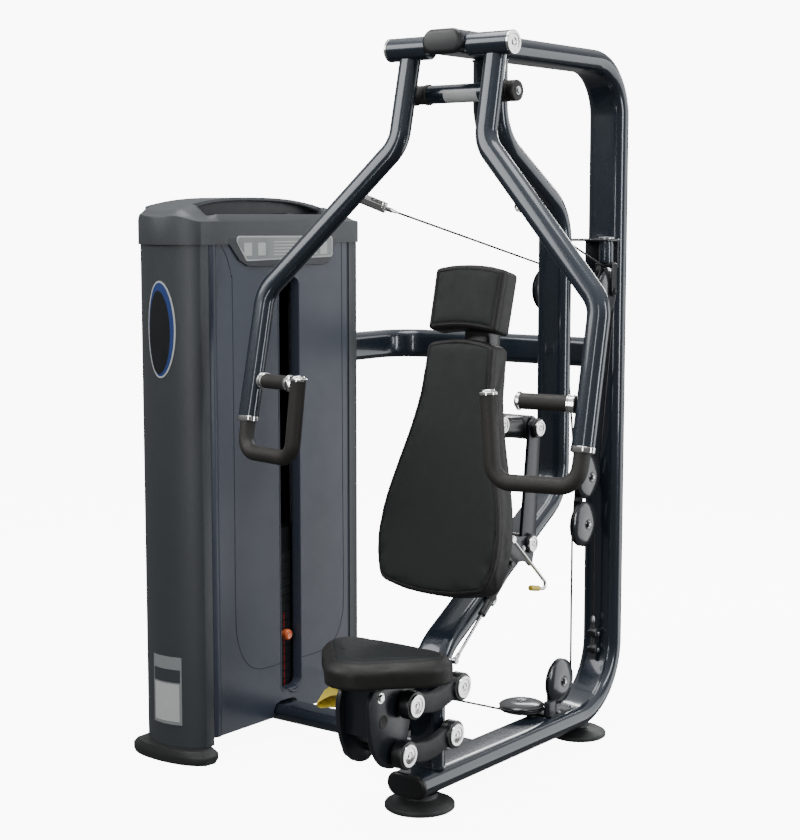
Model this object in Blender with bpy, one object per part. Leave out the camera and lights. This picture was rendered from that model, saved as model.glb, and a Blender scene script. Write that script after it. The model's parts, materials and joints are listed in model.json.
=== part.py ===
"""Selectorised chest press machine, modelled as an assembly of separate pieces.

Machine axes: X = 0 is the plane of the main loop, which the user sits astride and faces -Y.
Y = 0 is the axis of the rear column, and Z = 0 is the floor. The weight tower stands at -X.
Every piece hangs under one empty that moves the middle of the footprint to the origin.
"""
import math

import bmesh
import bpy
from mathutils import Matrix, Vector

GAP = 0.0004
CABLE_CLEARANCE = 0.0015
SIDES = (("left", -1), ("right", 1))

# Footprint centre in machine axes, which becomes the origin.
FOOTPRINT_X = -0.2055
FOOTPRINT_Y = -0.6160

# Main loop: one flat-oval tube bent up from the rail into the column and the beam.
LOOP_WIDE = 0.120
LOOP_THICK = 0.060
RAIL_Z = 0.072
RAIL_FRONT_Y = -0.975
LOWER_BEND = 0.200
UPPER_BEND = 0.150
COLUMN_FOOT_Z = 0.300
BEAM_Z = 1.965
COLUMN_TOP_Z = 1.790
BEAM_FRONT_Y = -0.826
END_CAP = 0.013

# Inner column with its two bends.
INNER_WIDE = 0.100
INNER_THICK = 0.050
INNER_TOP_Y = -0.617
INNER_BACK_Y = -0.290
INNER_FOOT_Y = -0.890
INNER_BEND = 0.150
INNER_KNEES_Z = (1.743, 1.539, 0.753, 0.389)

# Weight tower.
TOWER_X = -0.700
TOWER_BACK_X = -0.930
TOWER_FRONT_Y = -0.985
TOWER_SEAM_Y = -0.373
TOWER_REAR_Y = -0.305
TOWER_BULGE = 0.050
TOWER_Z = (0.040, 1.450)
TOWER_MIDDLE_Y = (TOWER_FRONT_Y + TOWER_REAR_Y) / 2
WALL = 0.004
SLOT_Y = (-0.664, -0.576)
SLOT_Z = (0.134, 1.353)
CAP_TOP_Z = 1.515
CAP_RIDGE_Z = 1.588
STACK_X = -0.790
STACK_Y = -0.617
ROD_SPREAD = 0.118
PLATE_PITCH = 0.0255
PLATE = (0.100, 0.330, 0.0240)
STACK_FOOT_Z = 0.127
LIFTED_PLATES = 10
RESTING_PLATES = 6

# Press arms: each is bent in a plane that leans forward from the pivot.
PIVOT_Y = -0.797
PIVOT_Z = 1.955
ARM_PLANE_Y = -0.785
ARM_LEAN = math.radians(12.3)
ARM_WIDE = 0.058
ARM_THICK = 0.046
SLEEVE_RADIUS = 0.030
SLEEVE_X = (0.0625, 0.1850)
SEAT_BARREL_RADIUS = 0.0365
SEAT_BARREL_END = 0.0935
SEAT_LINK_DIP = 0.016
ARM_ROUTE = ((0.132, 0.000), (0.135, 0.250), (0.520, 0.645), (0.522, 0.985))
ARM_BEND = 0.090
GRIP_RADIUS = 0.0205
STOP_AT = (-0.735, 1.842)
LUG_TIP = (0.205, -0.790, 1.546)

# Pulleys and cables.
GROOVE = 0.058
FLANGE = 0.066
WHEEL_THICK = 0.036
WHEEL_BORE = 0.0085
AXLE = 0.0078
CABLE = 0.0030
SWIVEL = (0.095, -0.170, 1.318)
SWIVEL_YAW = math.radians(10.0)
SWIVEL_TOP_Z = 1.458
BLOCK_UPPER = (0.0, -0.100, 0.770)
BLOCK_LOWER = (0.0, -0.118, 0.632)
REACH = GROOVE + CABLE + CABLE_CLEARANCE
TURN = (0.0, BLOCK_LOWER[1] - 2 * REACH, 0.1875)
TOWER_GROOVE = 0.100
TOWER_FLANGE = 0.108
TOWER_REACH = TOWER_GROOVE + CABLE + CABLE_CLEARANCE
TOWER_TOP = (STACK_X, STACK_Y + TOWER_REACH, 1.430)
CROWN_Z = 1.310
FLAT = (-REACH, STACK_Y + 2 * TOWER_REACH + REACH, TURN[2] - REACH)
CABLE_END_Z = 0.330
CABLE_END_Y = BLOCK_LOWER[1] + REACH

# Seat linkage (Y, Z of the pins) and back linkage.
SEAT_PIN_UPPER = (-0.862, 0.322)
SEAT_PIN_LOWER = (-0.893, 0.202)
SEAT_REACH = (-0.204, -0.004)
SEAT_TOP_Z = 0.454
SEAT_THICK = 0.068
BACK_PIN = (-0.514, 0.642)
BACK_REACH = (0.030, 0.314)
BACK_FRONT_PIN = (-0.680, 0.516)
SPRING_TOP = (-0.6275, 0.605)
SPRING_FOOT = (-0.886, 0.394)
LEVER_PIN = (-0.632, 0.673)
ARM_CAP = (-0.637, 0.978)

PAINT = ("slate_paint", (0.030, 0.040, 0.055), 0.25, 0.7)
PANEL = ("panel_paint", (0.045, 0.055, 0.085), 0.45, 0.2)
SHROUD = ("shroud_plastic", (0.035, 0.040, 0.043), 0.50, 0.0)
BLACK = ("black_paint", (0.012, 0.013, 0.015), 0.40, 0.3)
RUBBER = ("rubber", (0.022, 0.021, 0.019), 0.75, 0.0)
CHROME = ("chrome", (0.75, 0.75, 0.74), 0.12, 1.0)
IRON = ("cast_iron", (0.020, 0.021, 0.023), 0.60, 0.4)
LEATHER = ("vinyl", (0.020, 0.023, 0.022), 0.55, 0.0)
YELLOW = ("yellow_plastic", (0.80, 0.62, 0.05), 0.45, 0.0)
ORANGE = ("orange_plastic", (0.85, 0.18, 0.04), 0.40, 0.0)
WHEEL = ("pulley_plastic", (0.045, 0.050, 0.056), 0.35, 0.0)
CORD = ("cable_jacket", (0.008, 0.008, 0.008), 0.45, 0.0)


def clear_scene():
    for item in list(bpy.data.objects):
        bpy.data.objects.remove(item, do_unlink=True)


def empty(name, place, parent=None):
    """An empty at a place in machine axes."""
    item = bpy.data.objects.new(name, None)
    bpy.context.scene.collection.objects.link(item)
    origin = Vector(parent["place"]) if parent else Vector((FOOTPRINT_X, FOOTPRINT_Y, 0.0))
    item.location = Vector(place) - origin
    item.parent = parent
    item["place"] = tuple(place)
    bpy.context.view_layer.update()
    return item


def look(spec):
    """One Principled material per finish."""
    name, colour, roughness, metallic = spec
    found = bpy.data.materials.get(name)
    if found:
        return found
    material = bpy.data.materials.new(name)
    material.use_nodes = True
    shader = material.node_tree.nodes["Principled BSDF"]
    shader.inputs["Base Color"].default_value = (*colour, 1.0)
    shader.inputs["Roughness"].default_value = roughness
    shader.inputs["Metallic"].default_value = metallic
    return material


def piece(name, form, finish, group, smooth=35.0):
    """Turn a bmesh in machine axes into one named object under its group's empty."""
    bmesh.ops.recalc_face_normals(form, faces=form.faces)
    bmesh.ops.translate(form, verts=form.verts, vec=-Vector(group["place"]))
    mesh = bpy.data.meshes.new(name)
    form.to_mesh(mesh)
    form.free()
    item = bpy.data.objects.new(name, mesh)
    bpy.context.scene.collection.objects.link(item)
    item.parent = group
    mesh.materials.append(look(finish))
    mesh.shade_smooth()
    mesh.set_sharp_from_angle(angle=math.radians(smooth))
    return item


def combine(target, forms, operation="UNION"):
    """Join forms to a piece, or cut them from it."""
    group = target.parent
    finish = target.data.materials[0]
    for index, form in enumerate(forms):
        bmesh.ops.recalc_face_normals(form, faces=form.faces)
        bmesh.ops.translate(form, verts=form.verts, vec=-Vector(group["place"]))
        mesh = bpy.data.meshes.new("tool")
        form.to_mesh(mesh)
        form.free()
        tool = bpy.data.objects.new(f"{target.name}_tool_{index}", mesh)
        bpy.context.scene.collection.objects.link(tool)
        tool.parent = group
        change = target.modifiers.new(f"join_{index}", "BOOLEAN")
        change.operation = operation
        change.solver = "EXACT"
        change.object = tool
        bpy.context.view_layer.update()
        view = bpy.context.evaluated_depsgraph_get()
        result = bpy.data.meshes.new_from_object(target.evaluated_get(view))
        target.modifiers.clear()
        target.data = result
        bpy.data.objects.remove(tool, do_unlink=True)
    target.data.materials.clear()
    target.data.materials.append(finish)
    target.data.shade_smooth()
    target.data.set_sharp_from_angle(angle=math.radians(35.0))
    return target


def stadium(wide, thick, steps=6):
    """Flat-oval section: half rounds at both ends of the wide direction."""
    radius = thick / 2
    reach = wide / 2 - radius
    points = []
    for end in (1, -1):
        for step in range(steps + 1):
            angle = math.pi * (step / steps - 0.5)
            points.append((end * (reach + radius * math.cos(angle)), end * radius * math.sin(angle)))
    return points


def ring_section(radius, steps=16):
    turns = (2 * math.pi * step / steps for step in range(steps))
    return [(radius * math.cos(turn), radius * math.sin(turn)) for turn in turns]


def rounded_route(corners, radius, steps=5):
    """A route through its corners, with each inner corner rounded by an arc."""
    corners = [Vector(corner) for corner in corners]
    route = [corners[0]]
    for before, corner, after in zip(corners, corners[1:], corners[2:]):
        arriving = (corner - before).normalized()
        leaving = (after - corner).normalized()
        turn = arriving.angle(leaving)
        if turn < 0.02:
            route.append(corner)
            continue
        cut = radius * math.tan(turn / 2)
        start = corner - arriving * cut
        inward = (leaving - arriving).normalized()
        centre = corner + inward * (radius / math.cos(turn / 2))
        spoke = start - centre
        axis = arriving.cross(leaving).normalized()
        for step in range(steps + 1):
            spin = Matrix.Rotation(turn * step / steps, 3, axis)
            route.append(centre + spin @ spoke)
    route.append(corners[-1])
    return route


def sweep(route, section, wide_axis):
    """Sweep a section along a route. wide_axis is where the section's first coordinate points."""
    form = bmesh.new()
    wide = Vector(wide_axis).normalized()
    rings = []
    for index, point in enumerate(route):
        before = route[max(index - 1, 0)]
        after = route[min(index + 1, len(route) - 1)]
        along = (after - before).normalized()
        wide = (wide - along * wide.dot(along)).normalized()
        thick = along.cross(wide)
        rings.append([form.verts.new(point + wide * a + thick * b) for a, b in section])
    count = len(section)
    for low, high in zip(rings, rings[1:]):
        for index in range(count):
            follow = (index + 1) % count
            form.faces.new((low[index], low[follow], high[follow], high[index]))
    form.faces.new(rings[0][::-1])
    form.faces.new(rings[-1])
    return form


def outline_plate(outline, axis, low, high):
    """Extrude a plane outline along X, Y or Z between two values."""
    form = bmesh.new()
    order = {
        "X": lambda p, t: (t, p[0], p[1]),
        "Y": lambda p, t: (p[0], t, p[1]),
        "Z": lambda p, t: (p[0], p[1], t),
    }
    place = order[axis]
    bottom = [form.verts.new(place(point, low)) for point in outline]
    top = [form.verts.new(place(point, high)) for point in outline]
    count = len(outline)
    form.faces.new(bottom[::-1])
    form.faces.new(top)
    for index in range(count):
        follow = (index + 1) % count
        form.faces.new((bottom[index], bottom[follow], top[follow], top[index]))
    return form


def block(low, high):
    corners = [(low[0], low[1]), (high[0], low[1]), (high[0], high[1]), (low[0], high[1])]
    return outline_plate(corners, "Z", low[2], high[2])


def turned(profile, centre, axis, steps=20):
    """Turn a profile of (radius, height) pairs about an axis. Radius 0 ends close the form."""
    form = bmesh.new()
    spin = Vector((0, 0, 1)).rotation_difference(Vector(axis).normalized()).to_matrix()
    centre = Vector(centre)
    closed_ring = profile[0][0] > 0
    rings = []
    for radius, height in profile:
        if radius == 0:
            rings.append([form.verts.new(centre + spin @ Vector((0, 0, height)))])
            continue
        ring = []
        for step in range(steps):
            turn = 2 * math.pi * step / steps
            spot = Vector((radius * math.cos(turn), radius * math.sin(turn), height))
            ring.append(form.verts.new(centre + spin @ spot))
        rings.append(ring)
    pairs = list(zip(rings, rings[1:]))
    if closed_ring:
        pairs.append((rings[-1], rings[0]))
    for low, high in pairs:
        for step in range(steps):
            follow = (step + 1) % steps
            if len(low) == 1:
                form.faces.new((low[0], high[step], high[follow]))
            elif len(high) == 1:
                form.faces.new((low[step], high[0], low[follow]))
            else:
                form.faces.new((low[step], low[follow], high[follow], high[step]))
    return form


def rod(start, end, radius, steps=14):
    """A plain round bar between two points."""
    start, end = Vector(start), Vector(end)
    length = (end - start).length
    return turned([(0, 0), (radius, 0), (radius, length), (0, length)], start, end - start, steps)


def link_outline(first, second, radius_first, radius_second, steps=8):
    """A link's outline: two round ends joined by straight sides."""
    run = Vector(second) - Vector(first)
    heading = math.atan2(run.y, run.x)
    points = []
    ends = ((second, radius_second, heading), (first, radius_first, heading + math.pi))
    for centre, radius, facing in ends:
        for step in range(steps + 1):
            turn = facing + math.pi * (step / steps - 0.5)
            points.append((centre[0] + radius * math.cos(turn), centre[1] + radius * math.sin(turn)))
    return points


def moved(form, matrix):
    bmesh.ops.transform(form, matrix=matrix, verts=form.verts)
    return form


# Frame ------------------------------------------------------------------------------------------

def loop_tubes(frame):
    section = stadium(LOOP_WIDE, LOOP_THICK)
    rail = rounded_route([(0, RAIL_FRONT_Y, RAIL_Z), (0, 0, RAIL_Z), (0, 0, COLUMN_FOOT_Z)], LOWER_BEND, 8)
    piece("base_rail", sweep(rail, section, (1, 0, 0)), PAINT, frame)
    column = [Vector((0, 0, COLUMN_FOOT_Z + GAP)), Vector((0, 0, COLUMN_TOP_Z))]
    piece("rear_column", sweep(column, section, (1, 0, 0)), PAINT, frame)
    corners = [(0, 0, COLUMN_TOP_Z + GAP), (0, 0, BEAM_Z), (0, BEAM_FRONT_Y, BEAM_Z)]
    beam = piece("top_beam", sweep(rounded_route(corners, UPPER_BEND, 8), section, (1, 0, 0)), PAINT, frame)
    bore = rod((-0.08, PIVOT_Y, PIVOT_Z), (0.08, PIVOT_Y, PIVOT_Z), 0.0165)
    combine(beam, [bore], "DIFFERENCE")
    for name, y, z in (("rail_end_cap", RAIL_FRONT_Y, RAIL_Z), ("beam_end_cap", BEAM_FRONT_Y, BEAM_Z)):
        route = [Vector((0, y - GAP - END_CAP * part, z)) for part in (0.0, 0.7, 1.0)]
        form = sweep(route, stadium(LOOP_WIDE + 0.003, LOOP_THICK + 0.003), (1, 0, 0))
        rim = [vert for vert in form.verts if vert.co.y < y - GAP - END_CAP * 0.9]
        for vert in rim:
            vert.co.x *= 0.95
            vert.co.z = z + (vert.co.z - z) * 0.88
        piece(name, form, BLACK, frame)


def inner_column(frame):
    upper, upper_end, lower, lower_end = INNER_KNEES_Z
    corners = [
        (0, INNER_TOP_Y, BEAM_Z - LOOP_THICK / 2 - GAP),
        (0, INNER_TOP_Y, upper),
        (0, INNER_BACK_Y, upper_end),
        (0, INNER_BACK_Y, lower),
        (0, INNER_FOOT_Y, lower_end),
        (0, INNER_FOOT_Y, RAIL_Z + LOOP_THICK / 2 + GAP),
    ]
    route = rounded_route(corners, INNER_BEND)
    column = piece("inner_column", sweep(route, stadium(INNER_WIDE, INNER_THICK, 6), (1, 0, 0)), PAINT, frame)
    bores = []
    for y, z in (SEAT_PIN_UPPER, SEAT_PIN_LOWER, BACK_PIN, BACK_FRONT_PIN):
        bores.append(rod((-0.07, y, z), (0.07, y, z), 0.0108, 14))
    barrel = rod((-0.0535, *BACK_PIN), (0.0535, *BACK_PIN), 0.0240, 18)
    stub = rod((0.030, *SPRING_FOOT), (0.0745, *SPRING_FOOT), 0.0060, 10)
    combine(column, [barrel, stub])
    combine(column, bores, "DIFFERENCE")


def crossbars(frame):
    corners = [(-0.0604, 0, 1.127), (-0.760, 0, 1.127), (-0.760, -0.2500, 1.127)]
    tube = sweep(rounded_route(corners, 0.11), stadium(0.088, 0.044, 6), (0, 0, 1))
    piece("upper_crossbar", tube, PAINT, frame)
    route = [Vector((-0.0604, -0.645, RAIL_Z)), Vector((-0.7496, -0.645, RAIL_Z))]
    piece("lower_crossbar", sweep(route, stadium(0.100, 0.048, 6), (0, 1, 0)), PAINT, frame)


def floor_feet(frame):
    for name, y, radius, neck in (("front_foot", -0.925, 0.092, 0.046), ("rear_foot", -0.135, 0.082, 0.030)):
        top = RAIL_Z - LOOP_THICK / 2 - GAP
        profile = [(0, 0), (radius, 0), (radius, 0.014), (radius * 0.78, 0.022), (neck, 0.028)]
        profile += [(neck, top), (0, top)]
        piece(name, turned(profile, (0, y, 0), (0, 0, 1), 24), RUBBER, frame)


def stop_parts(frame):
    bar = piece("stop_bar", rod((-0.108, *STOP_AT), (0.108, *STOP_AT), 0.0240), PAINT, frame)
    stem_end = INNER_TOP_Y - INNER_THICK / 2 - GAP
    combine(bar, [block((-0.030, STOP_AT[0] + 0.010, 1.826), (0.030, stem_end, 1.858))])
    for side, sign in SIDES:
        form = turned(
            [(0, 0), (0.0270, 0), (0.0270, 0.006), (0.0265, 0.052), (0.022, 0.056), (0, 0.056)],
            (sign * 0.1084, *STOP_AT), (sign, 0, 0))
        piece(f"stop_bumper_{side}", form, RUBBER, frame)


def pivot_shaft(frame):
    reach = SLEEVE_X[1] + GAP
    profile = [(0, -reach - 0.007), (0.022, -reach - 0.007), (0.0285, -reach - 0.004), (0.0285, -reach)]
    profile += [(0.0158, -reach), (0.0158, reach), (0.0285, reach), (0.0285, reach + 0.004)]
    profile += [(0.022, reach + 0.007), (0, reach + 0.007)]
    piece("pivot_shaft", turned(profile, (0, PIVOT_Y, PIVOT_Z), (1, 0, 0)), CHROME, frame)


# Weight tower -----------------------------------------------------------------------------------

def shroud_outline(corner_y, bulge, inset_y):
    """Plan of an end shroud: a bowed wall with two short returns, as a thin band."""
    steps = 12
    outer = [(TOWER_X, inset_y)]
    for step in range(steps + 1):
        part = step / steps
        x = TOWER_X + (TOWER_BACK_X - TOWER_X) * part
        outer.append((x, corner_y + bulge * math.sin(math.pi * part) ** 0.75))
    outer.append((TOWER_BACK_X, inset_y))
    middle_x = (TOWER_X + TOWER_BACK_X) / 2
    shrink = 1 - 2 * WALL / (TOWER_X - TOWER_BACK_X)
    drop = math.copysign(WALL, bulge)
    inner = [(middle_x + (x - middle_x) * shrink, y if y == inset_y else y - drop) for x, y in outer]
    return outer + inner[::-1]


def tower_walls(frame):
    low, high = TOWER_Z
    front = shroud_outline(TOWER_FRONT_Y, -TOWER_BULGE, TOWER_FRONT_Y + 0.030)
    piece("front_shroud", outline_plate(front, "Z", low, high), SHROUD, frame)
    rear = shroud_outline(TOWER_REAR_Y, TOWER_BULGE, TOWER_SEAM_Y + GAP)
    shroud = piece("rear_shroud", outline_plate(rear, "Z", low, high), SHROUD, frame)
    opening = rounded_route([(-0.760, 0.0, 1.127), (-0.760, -0.290, 1.127)], 0.1)
    combine(shroud, [sweep(opening, stadium(0.092, 0.048, 6), (0, 0, 1))], "DIFFERENCE")
    seam = TOWER_SEAM_Y - GAP
    start = TOWER_FRONT_Y + 0.030 + GAP
    panel = piece("user_panel", block((TOWER_X - WALL, start, low + 0.02), (TOWER_X, seam, high)), PANEL, frame)
    slot = block((TOWER_X - 0.02, SLOT_Y[0], SLOT_Z[0]), (TOWER_X + 0.02, SLOT_Y[1], SLOT_Z[1]))
    arch = block((TOWER_X - 0.02, -0.700, 0.0), (TOWER_X + 0.02, -0.590, 0.104))
    window = block((TOWER_X - 0.02, -0.428, 0.0), (TOWER_X + 0.02, -0.402, 0.140))
    combine(panel, [slot, arch, window], "DIFFERENCE")
    piece("back_panel", block((TOWER_BACK_X, start, low), (TOWER_BACK_X + WALL, seam, high)), PANEL, frame)


def tower_cap(frame):
    """Cap with a raised ridge that bows from end to end."""
    low = TOWER_Z[1] + GAP
    middle_x = (TOWER_X + TOWER_BACK_X) / 2
    half = (TOWER_X - TOWER_BACK_X) / 2 + 0.004
    ends = (TOWER_FRONT_Y - 0.002, TOWER_REAR_Y + 0.002)
    bow = TOWER_BULGE + 0.004
    steps = 10
    plan = []
    for corner, sign, direction in ((ends[0], -1, 1), (ends[1], 1, -1)):
        for step in range(steps + 1):
            part = step / steps
            x = middle_x + direction * half * (1 - 2 * part)
            plan.append((x, corner + sign * bow * math.sin(math.pi * part) ** 0.75))
    cap = piece("top_cap", outline_plate(plan, "Z", low, CAP_TOP_Z), SHROUD, frame)
    arch = []
    centre_y = (ends[0] + ends[1]) / 2
    reach = (ends[1] - ends[0]) / 2 - 0.02
    for step in range(13):
        part = step / 6 - 1
        rise = (CAP_RIDGE_Z - CAP_TOP_Z) * math.cos(math.pi * part / 2)
        arch.append((centre_y + reach * part, CAP_TOP_Z + rise))
    ridge = [(arch[0][0], low + 0.02)] + arch + [(arch[-1][0], low + 0.02)]
    combine(cap, [outline_plate(ridge, "X", middle_x - half + 0.022, middle_x + half - 0.022)])
    hollow = [(y * 0.98 + centre_y * 0.02, z - 0.006) for y, z in arch]
    hollow = [(hollow[0][0], low - 0.02)] + hollow + [(hollow[-1][0], low - 0.02)]
    combine(cap, [outline_plate(hollow, "X", middle_x - half + 0.028, middle_x + half - 0.028)], "DIFFERENCE")


def tower_foot_outline():
    """Plan of the far foot: bowed like the end shroud, with its inner corner cut off."""
    plan = [(-0.962, -0.345), (-0.958, -0.270), (-0.925, -0.248), (-0.880, -0.234), (-0.815, -0.228)]
    return plan + [(-0.750, -0.234), (-0.705, -0.248), (-0.672, -0.270), (-0.668, -0.305), (-0.690, -0.340)]


def tapered_plate(outline, levels):
    """A closed plate whose outline shrinks towards its middle by the factor given at each height."""
    form = bmesh.new()
    middle = sum((Vector(point) for point in outline), Vector((0, 0))) / len(outline)
    rings = []
    for z, size in levels:
        rings.append([form.verts.new((*(middle + (Vector(point) - middle) * size), z)) for point in outline])
    for low, high in zip(rings, rings[1:]):
        for index in range(len(outline)):
            follow = (index + 1) % len(outline)
            form.faces.new((low[index], low[follow], high[follow], high[index]))
    form.faces.new(rings[0][::-1])
    form.faces.new(rings[-1])
    return form


def tower_inside(frame):
    base = piece("tower_base", block((-0.870, -1.000, 0.050), (-0.750, -0.290, 0.100)), BLACK, frame)
    feet = []
    for end in (-1, 1):
        plan = [(x, TOWER_MIDDLE_Y - end * (TOWER_MIDDLE_Y - y)) for x, y in tower_foot_outline()]
        feet.append(tapered_plate(plan, ((0.0, 1.0), (0.022, 1.0), (0.038, 0.86))))
        neck = TOWER_MIDDLE_Y + end * 0.330
        feet.append(block((-0.865, neck - 0.022, 0.030), (-0.755, neck + 0.022, 0.056)))
    combine(base, feet)
    high = CROWN_Z + 0.008
    crown = piece("tower_crown", block((-0.920, -0.900, CROWN_Z), (-0.895, -0.345, high)), BLACK, frame)
    arms = []
    for sign in (-1, 1):
        y = STACK_Y + sign * ROD_SPREAD
        arms.append(block((-0.910, y - 0.022, CROWN_Z), (-0.750, y + 0.022, high)))
    low = (-0.760, TOWER_TOP[1] - 0.015, CROWN_Z + 0.002)
    cheek = block(low, (-0.754, TOWER_TOP[1] + 0.015, TOWER_TOP[2] + 0.015))
    axle = rod((-0.757, TOWER_TOP[1], TOWER_TOP[2]), (STACK_X - 0.020, TOWER_TOP[1], TOWER_TOP[2]), AXLE, 12)
    combine(crown, arms + [cheek, axle])
    for name, y in (("guide_rod_front", STACK_Y - ROD_SPREAD), ("guide_rod_rear", STACK_Y + ROD_SPREAD)):
        piece(name, rod((STACK_X, y, 0.1004), (STACK_X, y, CROWN_Z - GAP), 0.0125, 16), CHROME, frame)


def stack_form(first_z, count, stem_low, stem_high):
    """A comb of plates on one central stem, bored for the two guide rods."""
    form = rod((STACK_X, STACK_Y, stem_low), (STACK_X, STACK_Y, stem_high), 0.0140, 8)
    plates = []
    for index in range(count):
        low = first_z + index * PLATE_PITCH
        corner = (STACK_X - PLATE[0] / 2, STACK_Y - PLATE[1] / 2, low)
        plates.append(block(corner, (STACK_X + PLATE[0] / 2, STACK_Y + PLATE[1] / 2, low + PLATE[2])))
    return form, plates


def rod_bores(low, high):
    bores = []
    for sign in (-1, 1):
        y = STACK_Y + sign * ROD_SPREAD
        bores.append(rod((STACK_X, y, low), (STACK_X, y, high), 0.0140, 8))
    return bores


def weight_stack(frame, lift, pin):
    stem_top = STACK_FOOT_Z + RESTING_PLATES * PLATE_PITCH - 0.0015 - GAP
    form, plates = stack_form(STACK_FOOT_Z, RESTING_PLATES, 0.1004, stem_top)
    resting = piece("resting_plates", form, IRON, frame)
    combine(resting, plates)
    combine(resting, rod_bores(0.05, 0.5), "DIFFERENCE")
    first = STACK_FOOT_Z + RESTING_PLATES * PLATE_PITCH
    head_z = first + LIFTED_PLATES * PLATE_PITCH
    form, plates = stack_form(first, LIFTED_PLATES, first + 0.001, head_z + 0.085)
    lifted = piece("lifted_plates", form, IRON, lift)
    low = (STACK_X - 0.045, STACK_Y - 0.155, head_z - 0.002)
    head = block(low, (STACK_X + 0.045, STACK_Y + 0.155, head_z + 0.072))
    combine(lifted, plates + [head])
    combine(lifted, rod_bores(0.1, 1.0), "DIFFERENCE")
    pin_z = first + PLATE[2] / 2
    hole = rod((STACK_X + 0.018, STACK_Y, pin_z), (STACK_X + 0.08, STACK_Y, pin_z), 0.0058, 12)
    combine(lifted, [hole], "DIFFERENCE")
    profile = [(0, 0), (0.0052, 0), (0.0052, 0.036), (0.012, 0.038), (0.016, 0.044)]
    profile += [(0.016, 0.058), (0.011, 0.064), (0, 0.064)]
    piece("selector_pin", turned(profile, (STACK_X + 0.019, STACK_Y, pin_z), (1, 0, 0), 16), ORANGE, pin)


# Press arms -------------------------------------------------------------------------------------

def arm_point(x, down, sign):
    """A point in the leaning plane of the arm, down from the pivot's level."""
    return Vector((sign * x, ARM_PLANE_Y - down * math.sin(ARM_LEAN), PIVOT_Z - down * math.cos(ARM_LEAN)))


def press_arm(side, sign, group):
    route = rounded_route([arm_point(x, down, sign) for x, down in ARM_ROUTE], ARM_BEND)
    arm = piece(f"arm_{side}", sweep(route, stadium(ARM_WIDE, ARM_THICK, 6), (1, 0, 0)), PAINT, group)
    near, far = sign * SLEEVE_X[0], sign * SLEEVE_X[1]
    sleeve = rod((near, PIVOT_Y, PIVOT_Z), (far, PIVOT_Y, PIVOT_Z), SLEEVE_RADIUS, 20)
    low = Vector((sign * 0.262, -0.858, 1.582))
    lug = sweep([low, Vector((sign * 0.2095, -0.7935, 1.5485))], stadium(0.030, 0.012, 4), (0, 1, 1))
    combine(arm, [sleeve, lug])
    bore = rod((sign * 0.02, PIVOT_Y, PIVOT_Z), (sign * 0.25, PIVOT_Y, PIVOT_Z), 0.0164, 16)
    combine(arm, [bore], "DIFFERENCE")
    end = arm_point(0.522, 0.986, sign)
    corners = [end, arm_point(0.519, 1.078, sign)]
    corners += [(sign * 0.315, -1.060, 0.902), (sign * 0.295, -1.054, 1.112)]
    handle = sweep(rounded_route(corners, 0.048), ring_section(GRIP_RADIUS, 12), (1, 0, 0))
    piece(f"handle_{side}", handle, RUBBER, group)
    root = arm_point(0.522 - ARM_WIDE / 2 - 0.005, 0.885, sign)
    tip = Vector((sign * 0.355, -1.015, 1.094))
    piece(f"peg_{side}", rod(root, tip, GRIP_RADIUS - 0.001, 16), RUBBER, group)


# Pulleys ----------------------------------------------------------------------------------------

def wheel_profile(groove=GROOVE, flange=FLANGE):
    half = WHEEL_THICK / 2
    return [
        (WHEEL_BORE, -half), (flange * 0.5, -half), (flange, -0.0065), (groove, -0.0015),
        (groove, 0.0015), (flange, 0.0065), (flange * 0.5, half), (WHEEL_BORE, half),
    ]


def wheel(name, centre, axis, group, groove=GROOVE, flange=FLANGE):
    piece(name, turned(wheel_profile(groove, flange), centre, axis, 20), WHEEL, group)


def swivel_parts(frame, swivels, spins):
    x, y, z = SWIVEL
    half = [(0.116, -0.196), (0.116, -0.140), (0.060, -0.0305)]
    plan = [(-0.116, -0.196)] + half + [(-0.060, -0.0305), (-0.116, -0.140)]
    top = outline_plate(plan, "Z", SWIVEL_TOP_Z, SWIVEL_TOP_Z + 0.006)
    bracket = piece("swivel_bracket", top, BLACK, frame)
    additions = [block((-0.055, -0.0365, 1.380), (0.055, -0.0305, SWIVEL_TOP_Z + 0.004))]
    bores = []
    for side, sign in SIDES:
        additions.append(rod((sign * x, y, 1.397), (sign * x, y, SWIVEL_TOP_Z + 0.003), 0.0205))
        bores.append(rod((sign * x, y, 1.30), (sign * x, y, 1.445), 0.0088, 16))
    combine(bracket, additions)
    combine(bracket, bores, "DIFFERENCE")
    for side, sign in SIDES:
        centre = Vector((sign * x, y, z))
        axis = Vector((math.cos(SWIVEL_YAW), sign * math.sin(SWIVEL_YAW), 0))
        turn = Matrix.Translation(centre) @ Matrix.Rotation(sign * SWIVEL_YAW, 4, "Z")
        top = moved(block((-0.0268, -0.018, 0.0725), (0.0268, 0.018, 0.0785)), turn)
        yoke = piece(f"swivel_yoke_{side}", top, BLACK, swivels[side])
        cheeks = []
        for edge in (-1, 1):
            low, high = sorted((edge * 0.0215, edge * 0.0265))
            cheeks.append(moved(block((low, -0.015, -0.015), (high, 0.015, 0.074)), turn))
        axle = moved(rod((-0.024, 0, 0), (0.024, 0, 0), AXLE, 14), turn)
        stem = rod((sign * x, y, z + 0.074), (sign * x, y, 1.440), 0.0080, 14)
        combine(yoke, cheeks + [axle, stem])
        wheel(f"swivel_pulley_{side}", centre, axis, spins[side])


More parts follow.
